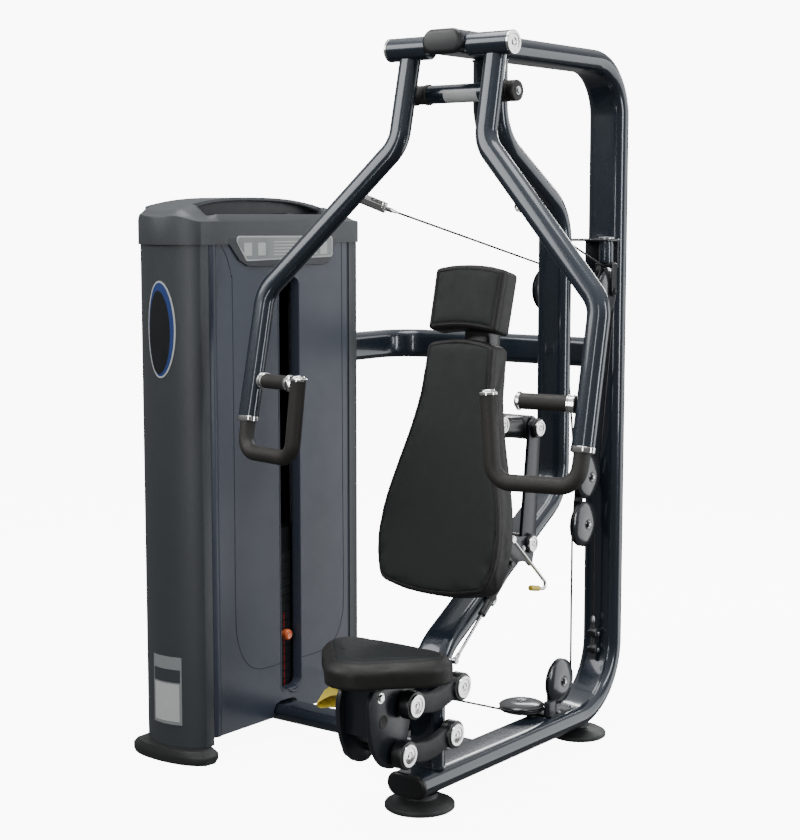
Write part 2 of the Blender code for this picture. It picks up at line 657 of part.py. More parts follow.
def floating_block(block_group, upper, lower):
    plate = link_outline(BLOCK_UPPER[1:], BLOCK_LOWER[1:], 0.022, 0.022)
    side = piece("pulley_block", outline_plate(plate, "X", -0.0265, -0.0205), BLACK, block_group)
    axles = []
    for centre in (BLOCK_UPPER, BLOCK_LOWER):
        axles.append(rod((-0.024, centre[1], centre[2]), (0.0235, centre[1], centre[2]), AXLE, 14))
        axles.append(rod((0.0190, centre[1], centre[2]), (0.0240, centre[1], centre[2]), 0.0125, 14))
    combine(side, axles)
    wheel("block_pulley_upper", BLOCK_UPPER, (1, 0, 0), upper)
    wheel("block_pulley_lower", BLOCK_LOWER, (1, 0, 0), lower)


def rail_pulleys(frame, turn_spin, flat_spin):
    top = RAIL_Z + LOOP_THICK / 2 + GAP
    cheek = block((-0.029, TURN[1] - 0.022, top), (-0.0205, TURN[1] + 0.022, 0.205))
    bracket = piece("rail_pulley_bracket", cheek, BLACK, frame)
    axle = rod((-0.024, TURN[1], TURN[2]), (0.0235, TURN[1], TURN[2]), AXLE, 14)
    washer = rod((0.0190, TURN[1], TURN[2]), (0.0240, TURN[1], TURN[2]), 0.0125, 14)
    foot = block((-0.029, -0.330, top), (0.029, TURN[1] + 0.022, top + 0.0035))
    anchor = block((0.008, -0.328, top + 0.001), (0.029, -0.303, 0.146))
    tongue = block((FLAT[0] - 0.014, FLAT[1] - 0.014, top), (-0.020, -0.290, top + 0.0035))
    post = rod((FLAT[0], FLAT[1], top + 0.002), (FLAT[0], FLAT[1], FLAT[2] + 0.024), AXLE, 14)
    combine(bracket, [axle, washer, foot, anchor, tongue, post])
    wheel("turn_pulley", TURN, (1, 0, 0), turn_spin)
    wheel("flat_pulley", FLAT, (0, 0, 1), flat_spin)


def cable_anchor(frame):
    """The drive cable's dead end: a threaded rod held to the column by two clamps."""
    screw = rod((0, CABLE_END_Y, 0.215), (0, CABLE_END_Y, CABLE_END_Z - 0.0015), 0.0075)
    anchor = piece("cable_anchor", screw, BLACK, frame)
    clamps = []
    for z, back in ((0.235, -0.0350), (0.285, -LOOP_THICK / 2 - GAP)):
        clamps.append(block((-0.014, CABLE_END_Y - 0.0095, z), (0.014, back, z + 0.015)))
    combine(anchor, clamps)


def cable(name, route, group):
    """A taut cable along its route."""
    curve = bpy.data.curves.new(name, "CURVE")
    curve.dimensions = "3D"
    curve.bevel_depth = CABLE
    curve.bevel_resolution = 2
    curve.use_fill_caps = True
    line = curve.splines.new("POLY")
    line.points.add(len(route) - 1)
    origin = Vector(group["place"])
    for point, place in zip(line.points, route):
        point.co = (*(Vector(place) - origin), 1.0)
    item = bpy.data.objects.new(name, curve)
    bpy.context.scene.collection.objects.link(item)
    item.parent = group
    curve.materials.append(look(CORD))


def arc(centre, out, up, radius, first, last, steps=8):
    """Points on a circle round a centre, from one angle to another, in the plane of out and up."""
    points = []
    for step in range(steps + 1):
        turn = first + (last - first) * step / steps
        points.append(Vector(centre) + radius * (Vector(out) * math.cos(turn) + Vector(up) * math.sin(turn)))
    return points


def arm_cable_half(sign):
    """From an arm's lug over its swivel pulley and down towards the floating block."""
    centre = Vector((sign * SWIVEL[0], SWIVEL[1], SWIVEL[2]))
    ahead = Vector((sign * math.sin(SWIVEL_YAW), -math.cos(SWIVEL_YAW), 0))
    lug = Vector((sign * LUG_TIP[0], LUG_TIP[1], LUG_TIP[2])) - centre
    distance = math.hypot(lug.dot(ahead), lug.z)
    tangent = math.atan2(lug.z, lug.dot(ahead)) + math.acos(REACH / distance)
    over = arc(centre, ahead, (0, 0, 1), REACH, tangent, math.pi)
    return [centre + lug] + over + [over[-1] - Vector((0, 0, 0.060))]


def cables(frame):
    upper = Vector(BLOCK_UPPER)
    straight = Vector((0, 0, 0.050))
    under = arc(upper, (0, 1, 0), (0, 0, 1), REACH, 0.0, -math.pi, 11)
    loop = [under[0] + straight] + under + [under[-1] + straight]
    route = arm_cable_half(1) + loop + arm_cable_half(-1)[::-1]
    cable("arm_cable", route, frame)
    lower = Vector(BLOCK_LOWER)
    over = arc(lower, (0, 1, 0), (0, 0, 1), REACH, 0.0, math.pi, 11)
    run_z = TURN[2] - REACH
    run_y = FLAT[1] - REACH
    high_z = TOWER_TOP[2] + TOWER_REACH
    head_z = STACK_FOOT_Z + (RESTING_PLATES + LIFTED_PLATES) * PLATE_PITCH + 0.0858
    corners = [over[-1], (0, over[-1].y, run_z), (0, run_y, run_z)]
    corners += [(STACK_X, run_y, run_z), (STACK_X, run_y, 0.4)]
    down = rounded_route(corners, REACH, 6)[1:-1]
    crest = arc(TOWER_TOP, (0, 1, 0), (0, 0, 1), TOWER_REACH, 0.0, math.pi, 10)
    ends = Vector((0, CABLE_END_Y, CABLE_END_Z)), Vector((STACK_X, STACK_Y, head_z))
    route = [ends[0]] + over + down + crest + [ends[1]]
    cable("drive_cable", route, frame)


# Seat -------------------------------------------------------------------------------------------

def offset(pin, reach):
    return (pin[0] + reach[0], pin[1] + reach[1])


def seat_outline():
    """Plan of the seat: wide and straight at the rear, a round nose in front."""
    half = [(0.0, -0.992), (0.105, -0.995), (0.150, -1.008), (0.176, -1.032), (0.186, -1.065)]
    half += [(0.177, -1.100), (0.143, -1.142), (0.102, -1.183), (0.070, -1.222), (0.040, -1.252), (0.0, -1.262)]
    return half + [(-x, y) for x, y in half[-2:0:-1]]


def dipped_outline(first, second, half, dip, steps=10):
    """Outline of a bar that dips between two pins and has round ends."""
    first, second = Vector(first), Vector(second)
    run = second - first
    down = Vector((run.y, -run.x)).normalized()
    if down.y > 0:
        down.negate()
    line = []
    for step in range(steps + 1):
        part = step / steps
        line.append(first + run * part + down * dip * math.sin(math.pi * part) ** 2)
    sides = ([], [])
    for index in range(1, steps):
        along = (line[index + 1] - line[index - 1]).normalized()
        out = Vector((-along.y, along.x)) * half
        sides[0].append(line[index] + out)
        sides[1].append(line[index] - out)
    heading = math.atan2(run.y, run.x)
    caps = ([], [])
    for cap, centre, facing in ((caps[0], second, heading), (caps[1], first, heading + math.pi)):
        for step in range(steps + 1):
            turn = facing + math.pi * (step / steps - 0.5)
            cap.append(centre + Vector((math.cos(turn), math.sin(turn))) * half)
    outline = caps[0] + sides[0][::-1] + caps[1] + sides[1]
    return [(spot.x, spot.y) for spot in outline]


def seat_link(name, pin, group, near=0.062, far=0.086):
    """A dipped casting on each side of the inner column, with a barrel at each end."""
    head = offset(pin, SEAT_REACH)
    outline = dipped_outline(pin, head, 0.024, SEAT_LINK_DIP)
    link = piece(name, outline_plate(outline, "X", near, far), BLACK, group)
    other = outline_plate(outline, "X", -far, -near)
    shaft = rod((-0.074, *pin), (0.074, *pin), 0.0100, 16)
    bridge = rod((-0.074, *head), (0.074, *head), 0.0100, 16)
    caps = []
    for sign in (-1, 1):
        for y, z in (pin, head):
            barrel = rod((sign * near, y, z), (sign * SEAT_BARREL_END, y, z), SEAT_BARREL_RADIUS, 20)
            caps.append(barrel)
    combine(link, [other, shaft, bridge] + caps)


def seat_parts(frame, upper, lower, carriage, flap):
    seat_link("seat_upper_link", SEAT_PIN_UPPER, upper)
    seat_link("seat_lower_link", SEAT_PIN_LOWER, lower)
    head = offset(SEAT_PIN_UPPER, SEAT_REACH)
    foot = offset(SEAT_PIN_LOWER, SEAT_REACH)
    side = [(-1.020, 0.377), (-1.175, 0.377), (-1.205, 0.338), (-1.190, 0.240), (-1.140, 0.175)]
    side += [(foot[0] - 0.02, foot[1] - 0.030), (foot[0] + 0.025, foot[1] - 0.022), (-1.030, 0.270)]
    body = piece("seat_carriage", outline_plate(side, "X", 0.040, 0.054), PANEL, carriage)
    mate = outline_plate(side, "X", -0.054, -0.040)
    table = block((-0.060, -1.190, 0.372), (0.060, -1.030, SEAT_TOP_Z - SEAT_THICK - GAP))
    web = block((-0.045, -1.180, 0.250), (0.045, -1.168, 0.376))
    combine(body, [mate, table, web])
    cuts = []
    for y, z in (head, foot):
        cuts.append(rod((-0.09, y, z), (0.09, y, z), 0.0112, 16))
    combine(body, cuts, "DIFFERENCE")
    bottom = SEAT_TOP_Z - SEAT_THICK
    pad = piece("seat_pad", outline_plate(seat_outline(), "Z", bottom, SEAT_TOP_Z), LEATHER, carriage)
    soften(pad, 0.022)
    strap = [(-0.066, -1.140, 0.345), (-0.085, -1.143, 0.338), (-0.150, -1.150, 0.300)]
    route = [Vector(point) for point in strap]
    piece("seat_release", sweep(route, stadium(0.050, 0.014, 5), (0, 1, 0)), YELLOW, flap)


def soften(pad, width):
    bevel = pad.modifiers.new("soft_edges", "BEVEL")
    bevel.width = width
    bevel.segments = 2
    bevel.limit_method = "ANGLE"
    bevel.angle_limit = math.radians(60)


# Back rest --------------------------------------------------------------------------------------

def pad_solid(name, rows, thick, group):
    """A pad lofted through rows of (half width, y of the front face, z), thick towards +Y."""
    form = bmesh.new()
    front, back = [], []
    lean = Vector((0, rows[0][1] - rows[-1][1], rows[0][2] - rows[-1][2])).normalized()
    inward = Vector((0, lean.z, -lean.y)) * thick
    outline = [(half, y, z) for half, y, z in rows] + [(-half, y, z) for half, y, z in rows[::-1]]
    for point in outline:
        front.append(form.verts.new(point))
        back.append(form.verts.new(Vector(point) + inward))
    form.faces.new(front)
    form.faces.new(back[::-1])
    count = len(outline)
    for index in range(count):
        follow = (index + 1) % count
        form.faces.new((front[index], back[index], back[follow], front[follow]))
    pad = piece(name, form, LEATHER, group)
    soften(pad, 0.012)
    return pad


def face_y(z):
    """Y of the back rest's front face at a height."""
    return -0.753 - (1.196 - z) * 0.2105


def back_parts(frame, rocker, front_rocker, body, lever, spring_rod, spring_tube):
    rows = [(0.086, 1.206), (0.100, 1.196), (0.103, 1.130), (0.106, 1.064), (0.122, 0.975), (0.147, 0.881)]
    rows += [(0.172, 0.790), (0.182, 0.715), (0.180, 0.660), (0.165, 0.610), (0.145, 0.585), (0.080, 0.570)]
    pad_solid("back_pad", [(half, face_y(z), z) for half, z in rows], 0.072, body)
    rows = [(0.088, -0.709, 1.396), (0.100, -0.711, 1.389), (0.097, -0.749, 1.236), (0.085, -0.751, 1.229)]
    pad_solid("head_pad", rows, 0.072, body)
    lean = math.atan(0.2105)
    back_y = 0.072 / math.cos(lean) + GAP * 2
    spine = []
    for z in (0.680, 1.310):
        spine.append(Vector((0, face_y(z) + back_y + 0.009, z)))
    plate = piece("back_frame", sweep(spine, stadium(0.070, 0.016, 4), (1, 0, 0)), BLACK, body)
    top = offset(BACK_PIN, BACK_REACH)
    low = offset(BACK_FRONT_PIN, BACK_REACH)
    reach = [Vector((0, face_y(0.975) + back_y + 0.006, 0.978)), Vector((0, top[0], top[1]))]
    arm = sweep(reach, stadium(0.100, 0.060, 6), (1, 0, 0))
    arm_eye = rod((-0.052, *top), (0.052, *top), 0.033, 20)
    caps = [rod((sign * 0.030, *ARM_CAP), (sign * 0.066, *ARM_CAP), 0.0215, 14) for sign in (-1, 1)]
    foot_route = [Vector((0, face_y(0.849) + back_y + 0.006, 0.852)), Vector((0, low[0], low[1]))]
    foot = sweep(foot_route, stadium(0.044, 0.030, 5), (0, 0, 1))
    foot_eye = rod((-0.0165, *low), (0.0165, *low), 0.0235, 20)
    combine(plate, [arm, arm_eye, foot, foot_eye] + caps)
    bores = [rod((-0.07, *top), (0.07, *top), 0.0145, 16), rod((-0.05, *low), (0.05, *low), 0.0112, 16)]
    combine(plate, bores, "DIFFERENCE")
    rocker_parts(rocker, front_rocker, top, low)
    release_lever(lever)
    gas_spring(spring_rod, spring_tube)


def rocker_parts(rocker, front_rocker, top, low):
    outline = link_outline(BACK_PIN, top, 0.034, 0.029)
    tail = [(-0.500, 0.655), (-0.500, 0.590), (-0.513, 0.579), (-0.535, 0.594), (-0.558, 0.5985)]
    tail += [(-0.588, 0.596), (-0.612, 0.588), (-0.634, 0.592), (-0.644, 0.606), (-0.648, 0.670)]
    tail += [(-0.632, 0.690), (-0.590, 0.672)]
    item = piece("back_rocker", outline_plate(outline, "X", 0.0545, 0.0645), PANEL, rocker)
    additions = [outline_plate(outline, "X", -0.0645, -0.0545), outline_plate(tail, "X", 0.0640, 0.0700)]
    for y, z in (BACK_PIN, top):
        additions.append(rod((-0.060, y, z), (0.060, y, z), 0.0100 if (y, z) == BACK_PIN else 0.0138, 16))
        for sign in (-1, 1):
            additions.append(rod((sign * 0.0625, y, z), (sign * 0.082, y, z), 0.0215, 14))
    additions.append(rod((0.0650, *SPRING_TOP), (0.0755, *SPRING_TOP), 0.0060, 12))
    additions.append(rod((0.0650, *LEVER_PIN), (0.0831, *LEVER_PIN), 0.0065, 12))
    combine(item, additions)
    outline = link_outline(BACK_FRONT_PIN, low, 0.020, 0.020)
    item = piece("front_rocker", outline_plate(outline, "X", 0.0545, 0.0610), PANEL, front_rocker)
    additions = [outline_plate(outline, "X", -0.0610, -0.0545)]
    for y, z in (BACK_FRONT_PIN, low):
        additions.append(rod((-0.058, y, z), (0.058, y, z), 0.0100, 16))
    combine(item, additions)


def release_lever(group):
    y, z = LEVER_PIN
    corners = [(0.090, y, z), (0.098, -0.452, 0.508), (0.104, -0.561, 0.531)]
    route = rounded_route(corners, 0.012, 4)
    item = piece("back_release", sweep(route, ring_section(0.0045, 10), (1, 0, 0)), CHROME, group)
    grip = rod((0.1018, -0.520, 0.5223), (0.1043, -0.566, 0.5320), 0.0080, 12)
    hub = rod((0.0835, y, z), (0.0965, y, z), 0.0100, 14)
    combine(item, [grip, hub])


def gas_spring(spring_rod, spring_tube):
    x = 0.0830
    foot = Vector((x, *SPRING_FOOT))
    top = Vector((x, *SPRING_TOP))
    along = (top - foot).normalized()
    middle = foot + (top - foot) * 0.46
    ball = rod((x - 0.0070, *SPRING_FOOT), (x + 0.0070, *SPRING_FOOT), 0.0090, 14)
    item = piece("gas_spring_rod", ball, CHROME, spring_rod)
    combine(item, [rod(foot, middle + along * 0.09, 0.0040, 12)])
    start = middle
    tube_end = top - along * 0.018
    length = (tube_end - start).length
    profile = [(0.0046, 0), (0.0105, 0), (0.0105, length), (0.0060, length + 0.004), (0.0060, length + 0.010)]
    profile += [(0.0, length + 0.010), (0.0, 0.115), (0.0046, 0.115)]
    tube = piece("gas_spring_tube", turned_cup(profile, start, along), BLACK, spring_tube)
    combine(tube, [rod((x - 0.0070, *SPRING_TOP), (x + 0.0070, *SPRING_TOP), 0.0090, 14)])


def turned_cup(profile, centre, axis):
    """Turn an open cup: the profile runs from the mouth's inner edge round the outside and back in."""
    form = bmesh.new()
    steps = 16
    spin = Vector((0, 0, 1)).rotation_difference(Vector(axis).normalized()).to_matrix()
    rings = []
    for radius, height in profile:
        count = steps if radius else 1
        ring = []
        for step in range(count):
            turn = 2 * math.pi * step / steps
            local = Vector((radius * math.cos(turn), radius * math.sin(turn), height))
            ring.append(form.verts.new(Vector(centre) + spin @ local))
        rings.append(ring)
    pairs = list(zip(rings, rings[1:] + rings[:1]))
    for low, high in pairs:
        if len(low) == 1 and len(high) == 1:
            continue
        for step in range(steps):
            follow = (step + 1) % steps
            if len(low) == 1:
                form.faces.new((low[0], high[step], high[follow]))
            elif len(high) == 1:
                form.faces.new((low[step], high[0], low[follow]))
            else:
                form.faces.new((low[step], low[follow], high[follow], high[step]))
    return form


def build():
    clear_scene()
    root = empty("machine", (FOOTPRINT_X, FOOTPRINT_Y, 0.0))
    root.location = (0, 0, 0)
    frame = empty("frame", (0, 0, 0), root)
    loop_tubes(frame)
    inner_column(frame)
    crossbars(frame)
    floor_feet(frame)
    stop_parts(frame)
    pivot_shaft(frame)
    tower_walls(frame)
    tower_cap(frame)
    tower_inside(frame)
    lift = empty("stack_lift", (STACK_X, STACK_Y, STACK_FOOT_Z), root)
    pin = empty("pin_slide", (STACK_X, STACK_Y, 0.29), lift)
    weight_stack(frame, lift, pin)
    hub = empty("tower_spin", TOWER_TOP, root)
    wheel("tower_pulley", TOWER_TOP, (1, 0, 0), hub, TOWER_GROOVE, TOWER_FLANGE)
    swivels, spins = {}, {}
    for side, sign in SIDES:
        arm = empty(f"arm_{side}_pivot", (0, PIVOT_Y, PIVOT_Z), root)
        press_arm(side, sign, arm)
        centre = (sign * SWIVEL[0], SWIVEL[1], SWIVEL[2])
        swivels[side] = empty(f"swivel_{side}", centre, root)
        spins[side] = empty(f"swivel_spin_{side}", centre, swivels[side])
    swivel_parts(frame, swivels, spins)
    block_group = empty("block_lift", BLOCK_UPPER, root)
    upper = empty("block_upper_spin", BLOCK_UPPER, block_group)
    lower = empty("block_lower_spin", BLOCK_LOWER, block_group)
    floating_block(block_group, upper, lower)
    rail_pulleys(frame, empty("turn_spin", TURN, root), empty("flat_spin", FLAT, root))
    cable_anchor(frame)
    cables(frame)
    seat_upper = empty("seat_upper_pivot", (0, *SEAT_PIN_UPPER), root)
    seat_lower = empty("seat_lower_pivot", (0, *SEAT_PIN_LOWER), root)
    carriage = empty("seat_carriage_pivot", (0, *offset(SEAT_PIN_UPPER, SEAT_REACH)), seat_upper)
    flap = empty("seat_flap_pivot", (-0.058, -1.140, 0.345), carriage)
    seat_parts(frame, seat_upper, seat_lower, carriage, flap)
    rocker = empty("rocker_pivot", (0, *BACK_PIN), root)
    front_rocker = empty("front_rocker_pivot", (0, *BACK_FRONT_PIN), root)
    body = empty("back_frame_pivot", (0, *offset(BACK_PIN, BACK_REACH)), rocker)
    lever = empty("lever_pivot", (0, *LEVER_PIN), rocker)
    spring_rod = empty("spring_foot_pivot", (0, *SPRING_FOOT), root)
    spring_tube = empty("spring_slide", (0, *SPRING_TOP), spring_rod)
    back_parts(frame, rocker, front_rocker, body, lever, spring_rod, spring_tube)


build()
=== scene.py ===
"""Looks for the chest press machine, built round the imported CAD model."""

import json
import math

import bmesh
import bpy
import numpy as np
from mathutils import Matrix, Vector


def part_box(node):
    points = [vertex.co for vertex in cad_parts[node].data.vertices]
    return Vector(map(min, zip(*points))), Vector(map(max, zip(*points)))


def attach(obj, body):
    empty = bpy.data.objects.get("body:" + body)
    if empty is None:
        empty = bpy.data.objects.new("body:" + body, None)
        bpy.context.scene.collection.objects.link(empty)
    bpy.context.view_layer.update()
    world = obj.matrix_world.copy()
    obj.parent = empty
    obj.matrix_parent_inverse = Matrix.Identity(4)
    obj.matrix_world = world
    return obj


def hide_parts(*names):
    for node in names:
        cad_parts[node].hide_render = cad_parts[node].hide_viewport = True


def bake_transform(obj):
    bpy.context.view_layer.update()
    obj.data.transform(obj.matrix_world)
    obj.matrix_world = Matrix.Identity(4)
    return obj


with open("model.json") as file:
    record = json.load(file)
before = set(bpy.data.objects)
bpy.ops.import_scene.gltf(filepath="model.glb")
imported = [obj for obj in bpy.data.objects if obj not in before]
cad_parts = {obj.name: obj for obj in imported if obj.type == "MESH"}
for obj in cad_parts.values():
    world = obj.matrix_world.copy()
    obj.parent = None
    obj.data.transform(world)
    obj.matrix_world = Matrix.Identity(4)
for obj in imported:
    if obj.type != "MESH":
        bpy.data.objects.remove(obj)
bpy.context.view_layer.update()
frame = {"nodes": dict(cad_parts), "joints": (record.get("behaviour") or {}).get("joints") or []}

# Machine axes: the loop's plane and the rear column's axis, read from the column itself.
column_low, column_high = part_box("rear_column")
X0 = (column_low.x + column_high.x) / 2
Y0 = (column_low.y + column_high.y) / 2
JOINT = {joint["name"]: joint for joint in frame["joints"]}
SIDES = (("left", -1), ("right", 1))


def pivot(name):
    """A joint's pivot in machine axes."""
    return Vector(JOINT[name]["pos_m"]) - Vector((X0, Y0, 0))


def node_box(name):
    low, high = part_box(name)
    shift = Vector((X0, Y0, 0))
    return low - shift, high - shift


# Forms --------------------------------------------------------------------------------------------


def stadium(wide, thick, steps=14):
    radius = thick / 2
    reach = wide / 2 - radius
    points = []
    for end in (1, -1):
        for step in range(steps + 1):
            turn = math.pi * (step / steps - 0.5)
            points.append((end * (reach + radius * math.cos(turn)), end * radius * math.sin(turn)))
    return points


def circle(radius, steps=28):
    turns = (2 * math.pi * step / steps for step in range(steps))
    return [(radius * math.cos(turn), radius * math.sin(turn)) for turn in turns]


def rounded(corners, radii, steps=18):
    """A route through corners, each inner one rounded by its own radius."""
    corners = [Vector(corner) for corner in corners]
    if not hasattr(radii, "__len__"):
        radii = [radii] * (len(corners) - 2)
    route = [corners[0]]
    for before, corner, after, radius in zip(corners, corners[1:], corners[2:], radii):
        arriving = (corner - before).normalized()
        leaving = (after - corner).normalized()
        turn = arriving.angle(leaving)
        if turn < 0.01:
            continue
        start = corner - arriving * radius * math.tan(turn / 2)
        centre = corner + (leaving - arriving).normalized() * (radius / math.cos(turn / 2))
        axis = arriving.cross(leaving).normalized()
        for step in range(steps + 1):
            route.append(centre + Matrix.Rotation(turn * step / steps, 3, axis) @ (start - centre))
    route.append(corners[-1])
    return route


def join_rings(form, rings, capped=True):
    """Faces from each ring of vertices to the next, and over the two end rings."""
    for low, high in zip(rings, rings[1:]):
        for index, vert in enumerate(low):
            follow = (index + 1) % len(low)
            form.faces.new((vert, low[follow], high[follow], high[index]))
    if capped:
        form.faces.new(rings[0][::-1])
        form.faces.new(rings[-1])
    return form


def loft(rings, capped=True):
    """A skin through rings of points, closed at its ends or joined round into a loop."""
    form = bmesh.new()
    rings = [[form.verts.new(point) for point in ring] for ring in rings]
    return join_rings(form, rings if capped else rings + rings[:1], capped)


def sweep(route, section, wide_axis, scales=None):
    """A closed bar along a route. scales shrinks or grows the section at each point."""
    route = [Vector(point) for point in route]
    wide = Vector(wide_axis).normalized()
    rings = []
    for index, point in enumerate(route):
        along = (route[min(index + 1, len(route) - 1)] - route[max(index - 1, 0)]).normalized()
        wide = (wide - along * wide.dot(along)).normalized()
        thick = along.cross(wide)
        size = scales[index] if scales else 1.0
        rings.append([point + (wide * a + thick * b) * size for a, b in section])
    return loft(rings)


PLACES = {
    "X": lambda point, level: (level, *point),
    "Y": lambda point, level: (point[0], level, point[1]),
    "Z": lambda point, level: (*point, level),
}


def plate(outline, axis, low, high):
    """A flat plate with an outline, between two levels on an axis."""
    return loft([[PLACES[axis](point, level) for point in outline] for level in (low, high)])


def block(low, high):
    outline = [(low[0], low[1]), (high[0], low[1]), (high[0], high[1]), (low[0], high[1])]
    return plate(outline, "Z", low[2], high[2])


def turned(profile, centre, axis, steps=40):
    """Turn (radius, height) pairs about an axis. Ends with radius 0 close it; otherwise it is a ring."""
    form = bmesh.new()
    spin = Vector((0, 0, 1)).rotation_difference(Vector(axis).normalized()).to_matrix()
    centre = Vector(centre)
    rings = []
    for radius, height in profile:
        count = steps if radius > 1e-7 else 1
        ring = []
        for step in range(count):
            turn = 2 * math.pi * step / steps
            spot = Vector((radius * math.cos(turn), radius * math.sin(turn), height))
            ring.append(form.verts.new(centre + spin @ spot))
        rings.append(ring)
    pairs = list(zip(rings, rings[1:]))
    if len(rings[0]) > 1 or len(rings[-1]) > 1:
        pairs.append((rings[-1], rings[0]))
    for low, high in pairs:
        for step in range(steps):
            follow = (step + 1) % steps
            if len(low) == 1:
                form.faces.new((low[0], high[step], high[follow]))
            elif len(high) == 1:
                form.faces.new((low[step], high[0], low[follow]))
            else:
                form.faces.new((low[step], low[follow], high[follow], high[step]))
    return form


def rod(start, end, radius, edge=0.0008, steps=28):
    """A round bar with slightly broken edges."""
    start, end = Vector(start), Vector(end)
    length = (end - start).length
    edge = min(edge, length / 3, radius / 3)
    profile = [
        (0, 0), (radius - edge, 0), (radius, edge), (radius, length - edge),
        (radius - edge, length), (0, length),
    ]
    return turned(profile, start, end - start, steps)


def stub(foot, axis, length, radius, edge, steps):
    """A rod that stands on its foot along a unit axis."""
    return rod(foot, Vector(foot) + Vector(axis) * length, radius, edge, steps)


def cross_rod(spot, low, high, radius, edge=0.0008, steps=28):
    """A round bar along X through a (y, z) spot."""
    return rod((low, *spot), (high, *spot), radius, edge, steps)


def half_turn(centre, radius, facing, steps):
    """Points round half a circle that bulges towards a heading."""
    turns = (facing + math.pi * (step / steps - 0.5) for step in range(steps + 1))
    return [(centre[0] + radius * math.cos(turn), centre[1] + radius * math.sin(turn)) for turn in turns]


def link_outline(first, second, radius_first, radius_second, steps=14):
    run = Vector(second) - Vector(first)
    heading = math.atan2(run.y, run.x)
    far = half_turn(second, radius_second, heading, steps)
    return far + half_turn(first, radius_first, heading + math.pi, steps)


def moved(form, matrix):
    bmesh.ops.transform(form, matrix=matrix, verts=form.verts)
    return form


def catmull(a, b, c, d, t):
    """The Catmull-Rom curve from b to c, at share t."""
    square, cube = (2 * a - 5 * b + 4 * c - d) * t * t, (3 * b - a - 3 * c + d) * t ** 3
    return 0.5 * (2 * b + (c - a) * t + square + cube)


def smooth_line(points, samples):
    """Points spread along a smooth curve through the given ones."""
    points = [Vector(point) for point in points]
    padded = [points[0] * 2 - points[1]] + points + [points[-1] * 2 - points[-2]]
    out = []
    spans = len(points) - 1
    for index in range(samples):
        place = index / (samples - 1) * spans
        span = min(int(place), spans - 1)
        out.append(catmull(*padded[span:span + 4], place - span))
    return out


def smooth_loop(points, samples):
    """The same for a closed outline of (a, b) pairs."""
    ring = [Vector(point) for point in points]
    out = []
    for index in range(samples):
        place = index / samples * len(ring)
        span = int(place)
        near = (ring[(span + shift) % len(ring)] for shift in (-1, 0, 1, 2))
        out.append(tuple(catmull(*near, place - span)))
    return out


# Materials ----------------------------------------------------------------------------------------

BUMP_DEPTH = 0.0006     # metres
WORN_LIGHTER = 2.2      # worn edges against the base colour


def ramp(nodes, low, high, colour_low, colour_high):
    node = nodes.new("ShaderNodeValToRGB")
    first, last = node.color_ramp.elements
    first.position, last.position = low, high
    first.color = (*colour_low, 1)
    last.color = (*colour_high, 1)
    return node


def shaded(colour, factor):
    return tuple(min(channel * factor, 1.0) for channel in colour)


def add_node(tree, kind, **settings):
    """A shader node with its inputs set. An underscore stands for a space in an input's name."""
    node = tree.nodes.new("ShaderNode" + kind)
    for name, value in settings.items():
        node.inputs[name.replace("_", " ")].default_value = value
    return node


def material(name, colour, rough, metallic=0.0, coat=0.0, coat_rough=0.04, spread=0.12, patch=6.0,
             grain=0.0, grain_scale=900.0, cells=0.0, cell_scale=500.0, wear=0.0, ior=1.5):
    """A finish with patchy colour, uneven roughness, and grain or cells as bump."""
    made = bpy.data.materials.new(name)
    made.use_nodes = True
    tree = made.node_tree
    link = tree.links.new
    shader = tree.nodes["Principled BSDF"]
    inputs = {"Metallic": metallic, "IOR": ior, "Coat Weight": coat, "Coat Roughness": coat_rough}
    for socket, value in inputs.items():
        shader.inputs[socket].default_value = value
    place = add_node(tree, "TexCoord").outputs["Object"]
    patches = add_node(tree, "TexNoise", Scale=patch, Detail=6.0)
    link(place, patches.inputs["Vector"])
    tint = ramp(tree.nodes, 0.30, 0.70, shaded(colour, 1 - spread), shaded(colour, 1 + spread))
    link(patches.outputs["Fac"], tint.inputs["Fac"])
    colour_out = tint.outputs["Color"]
    if wear:
        worn = add_node(tree, "MapRange", From_Min=0.53, From_Max=0.62, To_Max=wear)
        link(add_node(tree, "NewGeometry").outputs["Pointiness"], worn.inputs["Value"])
        mix = tree.nodes.new("ShaderNodeMix")
        mix.data_type = "RGBA"
        link(worn.outputs["Result"], mix.inputs["Factor"])
        link(colour_out, mix.inputs[6])
        mix.inputs[7].default_value = (*shaded(colour, WORN_LIGHTER), 1)
        colour_out = mix.outputs[2]
    link(colour_out, shader.inputs["Base Color"])
    fine = add_node(tree, "TexNoise", Scale=patch * 7, Detail=5.0)
    link(place, fine.inputs["Vector"])
    uneven = add_node(tree, "MapRange", To_Min=rough * 0.82, To_Max=min(rough * 1.18, 1.0))
    link(fine.outputs["Fac"], uneven.inputs["Value"])
    link(uneven.outputs["Result"], shader.inputs["Roughness"])
    normal = None
    textures = (("Noise", "Fac", grain, grain_scale), ("Voronoi", "Distance", cells, cell_scale))
    for kind, output, strength, scale in textures:
        if not strength:
            continue
        texture = add_node(tree, "Tex" + kind, Scale=scale)
        link(place, texture.inputs["Vector"])
        bump = add_node(tree, "Bump", Strength=strength, Distance=BUMP_DEPTH)
        link(texture.outputs[output], bump.inputs["Height"])
        if normal:
            link(normal, bump.inputs["Normal"])
        normal = bump.outputs["Normal"]
    if normal:
        link(normal, shader.inputs["Normal"])
    return made


